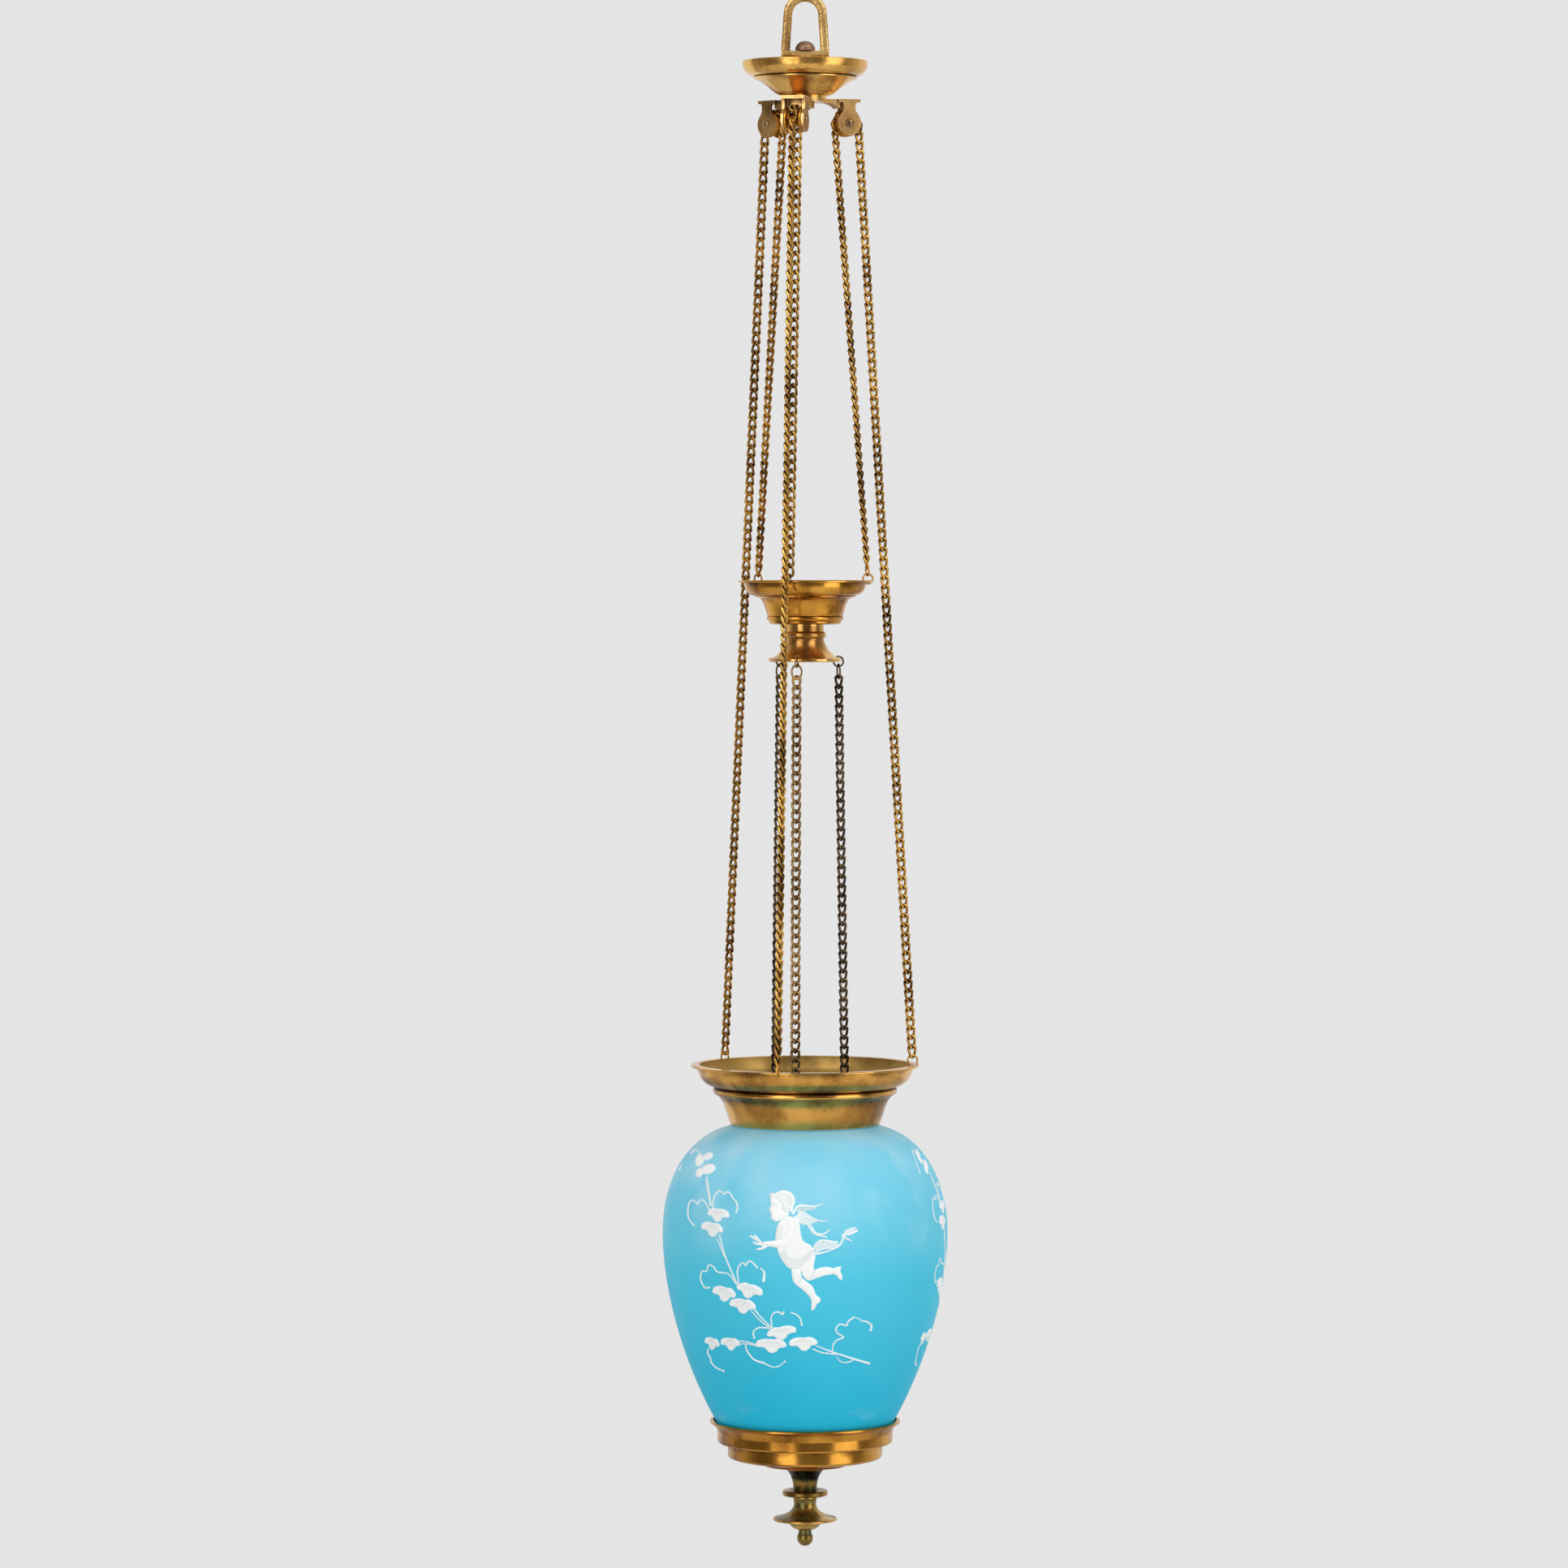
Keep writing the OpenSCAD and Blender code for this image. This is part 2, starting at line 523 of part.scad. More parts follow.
hanging_loop();
loop_bolt();
spacer_sleeve();
canopy();
canopy_collar();
bolt_nut();
pulley_bracket();
pin_right();
pin_front();
pin_left();
pulley_right();
pulley_front();
pulley_left();
chain_wrap_right();
chain_wrap_front();
chain_wrap_left();
lift_chain_right();
lift_chain_front();
lift_chain_left();
weight_chain_right();
weight_chain_front();
weight_chain_left();
counterweight_bowl();
ballast();
ballast_cover();
counterweight_foot();
counterweight_stud();
foot_nut();
candle_chain_right();
candle_chain_front();
candle_chain_left();
candle_dish();
candle_socket();
socket_screw();
crown_ring();
crown_bed();
glass_vase();
base_bed();
base_cup();
rose_plate();
finial_neck();
finial_knob();
finial_stud();
finial_nut();
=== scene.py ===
# %% [markdown]
# # A pull-down sanctuary lamp
# The lamp hangs from a brass canopy with three pulleys. Three chains run from the rim of the glass lamp,
# over the pulleys, to a turned counterweight. The solids of every piece are loaded first, as a frame that
# stays fixed. This lesson then gives them their looks: smooth turned brass, twisted chain, satin glass and
# the raised white enamel on it.

# %% Load the solids
import json
import math

import bpy
import numpy as np
from mathutils import Matrix, Vector


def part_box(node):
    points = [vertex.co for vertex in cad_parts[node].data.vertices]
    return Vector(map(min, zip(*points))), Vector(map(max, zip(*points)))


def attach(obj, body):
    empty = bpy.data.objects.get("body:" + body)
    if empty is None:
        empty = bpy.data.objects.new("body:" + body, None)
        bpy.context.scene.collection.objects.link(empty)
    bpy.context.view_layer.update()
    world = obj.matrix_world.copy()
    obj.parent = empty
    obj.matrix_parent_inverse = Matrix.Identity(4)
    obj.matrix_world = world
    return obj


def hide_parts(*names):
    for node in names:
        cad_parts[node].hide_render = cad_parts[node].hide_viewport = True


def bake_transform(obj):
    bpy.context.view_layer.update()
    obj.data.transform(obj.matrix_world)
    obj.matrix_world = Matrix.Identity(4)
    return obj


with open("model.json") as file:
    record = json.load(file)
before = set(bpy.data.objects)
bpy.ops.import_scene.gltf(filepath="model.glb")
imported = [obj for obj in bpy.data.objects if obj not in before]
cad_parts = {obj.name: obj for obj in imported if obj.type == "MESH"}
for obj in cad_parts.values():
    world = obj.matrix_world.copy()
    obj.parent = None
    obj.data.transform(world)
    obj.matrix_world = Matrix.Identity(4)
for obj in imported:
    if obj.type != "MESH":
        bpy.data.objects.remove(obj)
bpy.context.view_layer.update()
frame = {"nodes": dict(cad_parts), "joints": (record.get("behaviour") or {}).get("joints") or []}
MM = 0.001
scene = bpy.context.scene
scene.view_settings.view_transform = "Standard"
print("solids loaded:", len(frame["nodes"]))

# %% [markdown]
# ## The camera
# The photograph was taken from far away with a long lens: the rims of the crown and of the base both look
# almost flat. A camera could be placed by eye, but a few measured facts are better. The eye level lies
# where a turned rim shows as a straight line, and one millimetre at the lamp's axis covers about two pixels.
# The camera looks down a little, so that the eye level lies above the middle of the picture.

# %% Camera
PICTURE = 1932
PIXEL = 0.48 * MM
EYE_ROW = 690
AXIS_COLUMN = 992
TOP_ROW = 5
DISTANCE = 3.75
focal_pixels = DISTANCE / PIXEL

camera_data = bpy.data.cameras.new("camera")
camera_data.sensor_width = 36
camera_data.lens = focal_pixels * camera_data.sensor_width / PICTURE
camera = bpy.data.objects.new("camera", camera_data)
scene.collection.objects.link(camera)
camera.location = ((PICTURE / 2 - AXIS_COLUMN) * PIXEL, -DISTANCE, (TOP_ROW - EYE_ROW) * PIXEL)
look_down = math.atan2(PICTURE / 2 - EYE_ROW, focal_pixels)
camera.rotation_euler = (math.pi / 2 - look_down, 0, 0)
scene.camera = camera
print(f"lens {camera_data.lens:.1f} mm, looking down {math.degrees(look_down):.2f} degrees")

# %% [markdown]
# ## Floor and light
# The lamp hangs in front of a plain pale wall. Seen by the camera the surroundings are an even pale grey.
# What lights the lamp is a room that is pale behind it and darker behind the camera, because polished metal
# needs something dark to reflect, or it looks like plastic. Two tall lamps draw upright bands on the turned
# brass, as windows do, and two soft boxes fill in from above. The floor shines a little, so that it looks
# nearly as pale as the wall.

# %% Floor, room and lamps
FLOOR_Z = -1.5
FLOOR_R = 2.4
FLOOR_SHINE = {"Is Camera Ray": 0.2, "Is Glossy Ray": 0.08, "Is Transmission Ray": 0.08}
PALE = (0.78, 0.78, 0.78, 1)
DARK = (0.1, 0.09, 0.08, 1)
DARK_UNTIL, PALE_FROM = -0.3, 0.75
# The numbers of a Mix node's two colours and of its mixed colour
FIRST, SECOND, MIXED = 6, 7, 2
bpy.ops.object.select_all(action="DESELECT")
bpy.ops.mesh.primitive_circle_add(vertices=96, radius=FLOOR_R, fill_type="NGON", location=(0, 0, FLOOR_Z))
floor = bpy.context.object
floor.name = "floor"
floor_finish = bpy.data.materials.new("pale_floor")
floor_finish.use_nodes = True
nodes, links = floor_finish.node_tree.nodes, floor_finish.node_tree.links
shader = nodes["Principled BSDF"]
shader.inputs["Base Color"].default_value = PALE
shader.inputs["Roughness"].default_value = 0.9
shader.inputs["Emission Color"].default_value = PALE
strength = shader.inputs["Emission Strength"]
rays = nodes.new("ShaderNodeLightPath")
for kind, share in FLOOR_SHINE.items():
    lit = nodes.new("ShaderNodeMath")
    lit.operation = "MULTIPLY_ADD"
    links.new(rays.outputs[kind], lit.inputs[0])
    lit.inputs[1].default_value = share
    lit.inputs[2].default_value = 0
    links.new(lit.outputs[0], strength)
    strength = lit.inputs[2]
floor.data.materials.append(floor_finish)

room = bpy.data.worlds.new("room")
room.use_nodes = True
scene.world = room
nodes, links = room.node_tree.nodes, room.node_tree.links
facing = nodes.new("ShaderNodeTexCoord")
apart = nodes.new("ShaderNodeSeparateXYZ")
links.new(facing.outputs["Generated"], apart.inputs[0])
depth = nodes.new("ShaderNodeMapRange")
links.new(apart.outputs["Y"], depth.inputs["Value"])
depth.inputs["From Min"].default_value = DARK_UNTIL
depth.inputs["From Max"].default_value = PALE_FROM
depth.interpolation_type = "SMOOTHSTEP"
walls = nodes.new("ShaderNodeMix")
walls.data_type = "RGBA"
links.new(depth.outputs["Result"], walls.inputs[0])
walls.inputs[FIRST].default_value = DARK
walls.inputs[SECOND].default_value = PALE
rays = nodes.new("ShaderNodeLightPath")
seen = nodes.new("ShaderNodeMix")
seen.data_type = "RGBA"
links.new(rays.outputs["Is Camera Ray"], seen.inputs[0])
links.new(walls.outputs[MIXED], seen.inputs[FIRST])
seen.inputs[SECOND].default_value = PALE
links.new(seen.outputs[MIXED], nodes["Background"].inputs["Color"])


def soft_box(name, place, aim, wide, high, watts):
    """An area lamp that points at a place on the object."""
    lamp = bpy.data.lights.new(name, "AREA")
    lamp.shape = "RECTANGLE"
    lamp.size, lamp.size_y = wide, high
    lamp.energy = watts
    box = bpy.data.objects.new(name, lamp)
    scene.collection.objects.link(box)
    box.location = place
    box.rotation_euler = (Vector(aim) - Vector(place)).to_track_quat("-Z", "Y").to_euler()


MIDDLE = (0, 0, -0.55)
soft_box("soft_box_left", (-0.9, -1.2, 0.9), MIDDLE, 1.0, 1.3, 13)
soft_box("soft_box_right", (1.1, -1.0, 1.0), MIDDLE, 1.0, 1.3, 15)
soft_box("window_left", (-1.2, -2.2, -0.5), MIDDLE, 1.3, 2.2, 19)
soft_box("window_right", (2.0, -1.4, -0.5), MIDDLE, 1.5, 2.2, 18)

# %% [markdown]
# ## A way to write finishes
# A finish is a small network of nodes. Wiring it by hand takes many lines, so one small class stands for a
# socket and takes part in sums like a number, and another one holds the material and adds any node.

# %% Sockets that can be added and multiplied
CORNER_RAYS = 8


class Tone:
    """One output of a node. An expression with it adds Math nodes."""

    def __init__(self, finish, output):
        self.finish = finish
        self.output = output

    def sum_with(self, operation, first, second):
        """The result of a Math node."""
        return self.finish.node("ShaderNodeMath", {"operation": operation}, first, second)

    def __add__(self, other):
        return self.sum_with("ADD", self, other)

    def __radd__(self, other):
        return self.sum_with("ADD", other, self)

    def __sub__(self, other):
        return self.sum_with("SUBTRACT", self, other)

    def __rsub__(self, other):
        return self.sum_with("SUBTRACT", other, self)

    def __mul__(self, other):
        return self.sum_with("MULTIPLY", self, other)

    def __rmul__(self, other):
        return self.sum_with("MULTIPLY", other, self)

    def held(self):
        """The value kept between 0 and 1."""
        return self.finish.node("ShaderNodeClamp", {}, self)


class Finish:
    """A material that is built up node by node around one Principled shader."""

    def __init__(self, name):
        self.material = bpy.data.materials.new(name)
        self.material.use_nodes = True
        self.tree = self.material.node_tree
        self.shader = self.tree.nodes["Principled BSDF"]
        self.place = self.node("ShaderNodeTexCoord", {}, out="Object")

    def put(self, socket, value):
        """Links a socket to an output or sets its value."""
        if isinstance(value, Tone):
            self.tree.links.new(value.output, socket)
        else:
            socket.default_value = value

    def node(self, kind, settings, *values, out=0, **named):
        """Adds a node, with its settings first and then its sockets, and returns one of its outputs."""
        made = self.tree.nodes.new(kind)
        for key, value in settings.items():
            setattr(made, key, value)
        for socket, value in zip(made.inputs, values):
            self.put(socket, value)
        for key, value in named.items():
            self.put(made.inputs[key.replace("_", " ")], value)
        return Tone(self, made.outputs[out])

    def mix(self, share, first, second):
        """A colour between two others."""
        made = self.tree.nodes.new("ShaderNodeMix")
        made.data_type = "RGBA"
        for index, value in ((0, share), (FIRST, first), (SECOND, second)):
            self.put(made.inputs[index], value)
        return Tone(self, made.outputs[MIXED])

    def noise(self, scale, detail=3, stretch=(1, 1, 1)):
        """Soft random patches, given as patches per metre."""
        place = self.node("ShaderNodeMapping", {}, self.place, Scale=stretch)
        return self.node("ShaderNodeTexNoise", {}, place, Scale=scale, Detail=detail)

    def hollow(self, reach):
        """Near 1 in grooves and corners, 0 on open surfaces."""
        settings = {"only_local": True, "samples": CORNER_RAYS}
        return 1 - self.node("ShaderNodeAmbientOcclusion", settings, out="AO", Distance=reach)

    def edges(self, reach):
        """Near 1 on rims and outer edges, 0 on open surfaces."""
        settings = {"only_local": True, "inside": True, "samples": CORNER_RAYS}
        thin = self.node("ShaderNodeAmbientOcclusion", settings, out="AO", Distance=reach)
        return ((1 - thin) * 3 - 0.45).held()

    def inward(self):
        """1 on walls that face the axis of the lamp, 0 on all others."""
        normal = self.node("ShaderNodeNewGeometry", {}, out="Normal")
        level = self.node("ShaderNodeVectorMath", {"operation": "MULTIPLY"}, self.place, (1, 1, 0))
        outward = self.node("ShaderNodeVectorMath", {"operation": "NORMALIZE"}, level)
        facing = self.node("ShaderNodeVectorMath", {"operation": "DOT_PRODUCT"}, outward, normal,
                           out="Value")
        return (facing * -4).held()

    def underside(self):
        """1 on faces that look down, 0 on upright and upper ones."""
        normal = self.node("ShaderNodeNewGeometry", {}, out="Normal")
        height = self.node("ShaderNodeSeparateXYZ", {}, normal, out="Z")
        return ((height + 0.3) * -3).held()

    def between(self, low, high):
        """0 below one height, 1 above another one."""
        height = self.node("ShaderNodeSeparateXYZ", {}, self.place, out="Z")
        return self.node("ShaderNodeMapRange", {}, height, low, high, 0.0, 1.0).held()

    def surface(self, **values):
        """Sets the shader's own sockets and returns the material."""
        for key, value in values.items():
            self.put(self.shader.inputs[key.replace("_", " ")], value)
        return self.material


def srgb(red, green, blue):
    """A colour as it looks on a screen, from 0 to 255, turned into light."""
    light = [c / 255 for c in (red, green, blue)]
    light = [c / 12.92 if c < 0.04045 else ((c + 0.055) / 1.055) ** 2.4 for c in light]
    return (*light, 1)


print("finishes can be written as sums")

# %% [markdown]
# ## Aged brass
# The brass was gilded once. It has gone brown where nobody polishes it, and it is brightest where it was
# handled. The grooves and the faces under the rims are darkened, partly as tarnish and partly as painted
# shade, and the rims and edges are painted bright, partly as rubbed metal and partly as a painted highlight.
# Painting that by hand would not survive a change of shape, so the shader finds it itself: how closed in a
# point is says how dark it has become.

# %% Brass finishes
# Width of the wide bright rims: partly rubbed metal, partly a painted highlight.
WIDE_WEAR_AND_HIGHLIGHT = 1.6 * MM


def aged_brass(name, bright, dull, dark, tarnish_and_shade=1.5, reach=5 * MM, green=0.0, pits=0.0, satin=0.16,
               under=0.0, shade_above=None, stain=0.4, wear_and_highlight_width=0.8 * MM, inner=None):
    """Old brass: bright on open faces, brown in patches, dark in the grooves and unpolished inside.

    The first number after the colours says how dark the hollows within reach become, partly as tarnish and
    partly as painted shade; green adds verdigris to them, and stain adds dark runs. Pits roughen a cast
    skin, and satin is how rough the clean metal is. Under paints shade on faces that look down, and a pair
    of heights paints shade on what lies above them. Rims and edges are painted bright over a given width,
    partly as rubbed metal and partly as a painted highlight. Inner is the colour of the inside, if it isn't
    the dull one."""
    bright, dull, dark = srgb(*bright), srgb(*dull), srgb(*dark)
    inside = srgb(*inner) if inner else dull
    finish = Finish(name)
    cloud = finish.noise(38, 4)
    fleck = finish.noise(650, 4)
    rings = finish.noise(420, 2, stretch=(1, 1, 9))
    spots = ((finish.noise(480, 2) - 0.62) * 12).held()
    runs = ((finish.noise(90, 1, stretch=(1, 1, 0.3)) - 0.5) * 5).held()
    dents = finish.noise(170, 2)
    # Rims and edges painted bright: partly rubbed metal, partly a painted highlight.
    rim = finish.edges(wear_and_highlight_width)
    # The hollows within reach are darkened: partly tarnish, partly painted shade.
    dirt_and_shade = finish.hollow(reach) * tarnish_and_shade + (cloud - 0.53) * 2.2 + (fleck - 0.5) * 0.15 + (rings - 0.5) * 0.3
    dirt_and_shade = dirt_and_shade + spots * 0.3 + runs * stain - rim * 0.6
    if pits:
        dirt_and_shade = dirt_and_shade + ((finish.noise(900, 3) - 0.52) * 8).held() * pits
    # Painted shade on faces that look down.
    if under:
        dirt_and_shade = dirt_and_shade + finish.underside() * under
    # Painted shade on what lies above two heights.
    if shade_above:
        dirt_and_shade = dirt_and_shade + finish.between(*shade_above)
    dirt_and_shade = dirt_and_shade.held()
    polish_and_edge_highlight = finish.mix((((cloud - 0.36) * 3.6).held() - rim).held(), bright, dull)
    unpolished = finish.inward()
    colour = finish.mix(dirt_and_shade, finish.mix(unpolished * 0.7, polish_and_edge_highlight, inside), dark)
    metal = 0.9 - 0.3 * pits
    if green:
        bloom = (finish.hollow(reach) * 2 + finish.noise(170, 3) * 2.6 - 1.2 - rim * 2).held() * green
        colour = finish.mix(bloom, colour, srgb(66, 90, 50))
        metal = metal - 0.6 * bloom
    rough = satin + 0.2 * dirt_and_shade + 0.06 * fleck + 0.3 * unpolished
    bump = finish.node("ShaderNodeBump", {}, Strength=0.02 + 0.5 * pits, Distance=0.3 * MM,
                       Height=fleck + rings * 0.5 + dents * 2 - dirt_and_shade * pits)
    return finish.surface(Base_Color=colour, Roughness=rough, Metallic=metal, Normal=bump)


# The upper part of the finial neck gets painted shade.
neck_low, neck_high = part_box("finial_neck")
neck_shade = [neck_low.z + share * (neck_high.z - neck_low.z) for share in (0.48, 0.66)]
turned_brass = aged_brass("turned_brass", (216, 156, 62), (166, 108, 34), (62, 31, 5))
canopy_brass = aged_brass("canopy_brass", (255, 206, 112), (222, 162, 76), (80, 44, 10), 1.3, pits=0.22)
worn_brass = aged_brass("worn_brass", (232, 168, 68), (180, 115, 36), (58, 28, 5), satin=0.15, stain=0.6)
# The counterweight's foot gets a paler copy of the bowl's brass: a painted highlight.
highlit_foot_brass = aged_brass("highlit_foot_brass", (252, 204, 124), (212, 154, 80), (76, 42, 12), 1.1, satin=0.14,
                        wear_and_highlight_width=WIDE_WEAR_AND_HIGHLIGHT)
# The crown's downward faces get painted shade.
crown_brass = aged_brass("crown_brass", (240, 182, 92), (200, 141, 64), (64, 36, 11), 1.2, satin=0.14,
                         under=0.55, stain=0.12, inner=(186, 158, 92))
cast_brass = aged_brass("cast_brass", (255, 220, 146), (226, 178, 104), (92, 62, 26), pits=0.7, satin=0.26)
bracket_brass = aged_brass("bracket_brass", (232, 186, 120), (182, 138, 82), (66, 46, 22), reach=4 * MM,
                           pits=0.12, satin=0.26)
pin_brass = aged_brass("pin_brass", (188, 154, 112), (128, 102, 72), (64, 46, 28), satin=0.24)
green_brass = aged_brass("green_brass", (222, 178, 92), (140, 112, 52), (24, 24, 8), 1.9, 6 * MM,
                         green=1.0, satin=0.2, wear_and_highlight_width=WIDE_WEAR_AND_HIGHLIGHT)
black_brass = aged_brass("black_brass", (236, 188, 98), (160, 122, 56), (14, 8, 2), 1.2, 4 * MM,
                         green=0.5, satin=0.2, shade_above=neck_shade, wear_and_highlight_width=WIDE_WEAR_AND_HIGHLIGHT)
# The chain is darkened strongly between its links: tarnish and painted shade.
chain_brass = aged_brass("chain_brass", (244, 190, 92), (186, 128, 48), (30, 16, 3), 2.4, 2.6 * MM)
copper_brown = aged_brass("copper_brown", (168, 132, 108), (104, 78, 62), (52, 36, 28), pits=0.8, satin=0.4)
rose_brass = aged_brass("rose_brass", (200, 152, 104), (152, 108, 70), (74, 48, 28), satin=0.3)
sooted_brass = aged_brass("sooted_brass", (130, 108, 82), (82, 66, 50), (22, 17, 14), 1.3, 2 * MM)
# A paler copy of the sooted finish for the front candle chain: painted light.
lit_sooted_brass = aged_brass("lit_sooted_brass", (190, 150, 96), (124, 92, 54), (48, 34, 20), reach=2 * MM)
dull_steel = aged_brass("dull_steel", (170, 166, 158), (130, 124, 116), (60, 54, 48))
cast_lead = aged_brass("cast_lead", (120, 122, 126), (96, 98, 102), (56, 56, 60))
print("brass finishes:", [m.name for m in bpy.data.materials if "brass" in m.name])

# %% [markdown]
# ## Smooth turned pieces
# The canopy, the counterweight, the crown, the base and the finial came off a lathe, and the loop and the
# pulley bracket were cast and filed. Their solids have the right shape but razor edges. Each one is copied,
# its loose triangles are welded, and a narrow bevel rounds every edge, because real edges catch the light.
# The loop is the roughest casting, so a voxel remesh melts its edges further.

# %% Weld, bevel and smooth a copy of a solid
SHARP = math.radians(36)
NEARLY_FLAT = math.radians(0.3)
WELD = 0.002 * MM
FINE_EDGE, FILED_EDGE = 0.25 * MM, 0.6 * MM
LOOP_GRAIN, LOOP_SMOOTHING = 0.4 * MM, 14


def only(piece):
    """Makes one object the only selected and the active one."""
    bpy.ops.object.select_all(action="DESELECT")
    piece.select_set(True)
    bpy.context.view_layer.objects.active = piece


def edit(piece, *steps):
    """Runs edit mode operators on the whole of a piece."""
    only(piece)
    bpy.ops.object.mode_set(mode="EDIT")
    bpy.ops.mesh.select_all(action="SELECT")
    for step in steps:
        step()
    bpy.ops.object.mode_set(mode="OBJECT")


def modified(piece, kind, **settings):
    """Adds a modifier and applies it."""
    modifier = piece.modifiers.new(kind.lower(), kind)
    for key, value in settings.items():
        setattr(modifier, key, value)
    only(piece)
    bpy.ops.object.modifier_apply(modifier=modifier.name)


def coat(piece, finish):
    """Gives a piece one material."""
    piece.data.materials.clear()
    piece.data.materials.append(finish)


def dressed(piece, body, finish, slot, *nodes):
    """Gives a finished piece its material and the body that it moves with, and hides the solids it stands
    for.
    """
    coat(piece, finish)
    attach(piece, body)
    if nodes:
        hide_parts(*nodes)
    return piece


def rounded_copy(node, body, finish, slot="aged_brass", edge=FINE_EDGE):
    """A welded copy of a solid with its edges rounded."""
    piece = bpy.data.objects.new("dressed_" + node, frame["nodes"][node].data.copy())
    scene.collection.objects.link(piece)
    edit(
        piece,
        lambda: bpy.ops.mesh.customdata_custom_splitnormals_clear(),
        lambda: bpy.ops.mesh.remove_doubles(threshold=WELD),
        lambda: bpy.ops.mesh.dissolve_limited(angle_limit=NEARLY_FLAT),
    )
    modified(piece, "BEVEL", width=edge, segments=2, limit_method="ANGLE", angle_limit=SHARP)
    only(piece)
    bpy.ops.object.shade_smooth_by_angle(angle=SHARP)
    modified(piece, "WEIGHTED_NORMAL", mode="FACE_AREA_WITH_ANGLE", weight=90, keep_sharp=True)
    return dressed(piece, body, finish, slot, node)


for node in ("canopy", "canopy_collar", "spacer_sleeve"):
    rounded_copy(node, "hanger", canopy_brass)
loop = rounded_copy("hanging_loop", "hanger", cast_brass)
modified(loop, "REMESH", mode="VOXEL", voxel_size=LOOP_GRAIN, use_smooth_shade=True)
modified(loop, "SMOOTH", factor=0.5, iterations=LOOP_SMOOTHING)
rounded_copy("pulley_bracket", "hanger", bracket_brass, edge=FILED_EDGE)
rounded_copy("loop_bolt", "hanger", copper_brown, "copper_bolt")
rounded_copy("bolt_nut", "hanger", cast_brass)
for arm in ("right", "front", "left"):
    rounded_copy("pin_" + arm, "hanger", pin_brass)
    rounded_copy("pulley_" + arm, "pulley_" + arm, turned_brass)
for node in ("counterweight_bowl", "ballast_cover", "counterweight_stud"):
    rounded_copy(node, "counterweight", worn_brass)
rounded_copy("counterweight_foot", "counterweight", highlit_foot_brass)
for node in ("candle_dish", "candle_socket"):
    rounded_copy(node, "counterweight", cast_brass)
rounded_copy("crown_ring", "lamp", crown_brass)
rounded_copy("base_cup", "lamp", turned_brass)
rounded_copy("rose_plate", "lamp", rose_brass, "copper_plate")
rounded_copy("finial_neck", "lamp", black_brass)
rounded_copy("finial_knob", "lamp", green_brass)
for node, body in (("foot_nut", "counterweight"), ("socket_screw", "counterweight"),
                   ("finial_nut", "lamp"), ("finial_stud", "lamp")):
    rounded_copy(node, body, dull_steel, "steel")

# %% [markdown]
# ## Curb chain
# Every link is an oval of round wire with a quarter twist, so that the links lie flat against each other.
# One link starts as a ring, is pulled into an oval and twisted. An Array modifier then lays the links out
# along the straight run, which is quicker than placing hundreds by hand and gives them an even pitch.

# %% One twisted link
PITCH = 5.6 * MM
WIRE = 1.75 * MM
LINK_WIDTH = 6.5 * MM
LINK_PLAY = 0.05 * MM
LINK_TWIST = -90
LINK_ROUNDS, LINK_SIDES = 16, 5
RING_R = 3 * MM
RING_WIRE = 1.1 * MM
RING_ROUNDS, RING_SIDES = 24, 8


def chain_ring(major, wire, rounds, sides):
    """A ring of round wire, flat on the XY plane at the origin."""
    bpy.ops.object.select_all(action="DESELECT")
    bpy.ops.mesh.primitive_torus_add(
        major_radius=major, minor_radius=wire / 2, major_segments=rounds, minor_segments=sides)
    return bpy.context.object


def twisted(piece, degrees):
    """Twists a piece about Y."""
    modified(piece, "SIMPLE_DEFORM", deform_method="TWIST", deform_axis="Y", angle=math.radians(degrees))


def curb_link():
    """A ring pulled into an oval along Y and twisted about Y."""
    bend = (LINK_WIDTH - WIRE) / 2
    pull = (PITCH + WIRE) / 2 + LINK_PLAY - bend
    link = chain_ring(bend, WIRE, LINK_ROUNDS, LINK_SIDES)
    for side in (1, -1):
        for vertex in link.data.vertices:
            vertex.select = vertex.co.y * side > 0.1 * MM
        for group in (link.data.edges, link.data.polygons):
            for part in group:
                part.select = all(link.data.vertices[i].select for i in part.vertices)
        bpy.ops.object.mode_set(mode="EDIT")
        bpy.ops.transform.translate(value=(0, side * pull, 0))
        bpy.ops.object.mode_set(mode="OBJECT")
    twisted(link, LINK_TWIST)
    return link


def axes(tangent, along, place):
    """The frame of a link: X across the chain, Y along it."""
    out = tangent.cross(along)
    return Matrix.Translation(place) @ Matrix((tangent, along, out)).transposed().to_4x4()


def set_in_place(piece, matrix):
    """Moves a piece's mesh and leaves its object at the origin."""
    piece.data.transform(matrix)
    piece.matrix_world = Matrix.Identity(4)


def strand(start, end, facing, twist):
    """A straight run of links between two points. Its flat side faces an angle and slowly twists on."""
    run = end - start
    count = round(run.length / PITCH)
    pitch = run.length / count
    links = curb_link()
    modified(links, "ARRAY", count=count, use_relative_offset=False, use_constant_offset=True,
             constant_offset_displace=(0, pitch, 0))
    twisted(links, twist)
    along = run.normalized()
    flat = Vector((math.cos(math.radians(facing)), math.sin(math.radians(facing)), 0))
    flat = (flat - along * flat.dot(along)).normalized()
    set_in_place(links, axes(flat, along, start + run * 0.5 / count))
    return links


def end_ring(centre, along, across, longer=0.0):
    """A ring of wire in the plane of two directions, drawn out along the first one if it is an eye."""
    ring = chain_ring(RING_R, RING_WIRE, RING_ROUNDS, RING_SIDES)
    stretch = Matrix.Diagonal((1, 1 + longer / RING_R, 1, 1))
    set_in_place(ring, axes(across, along, centre) @ stretch)
    return ring


def joined(name, pieces):
    """One object made of several."""
    only(pieces[0])
    for piece in pieces:
        piece.select_set(True)
    bpy.ops.object.join()
    whole = bpy.context.object
    whole.name = name
    whole.data.name = name
    bpy.ops.object.shade_smooth()
    return whole


print("one link is", PITCH / MM, "mm long on the chain")

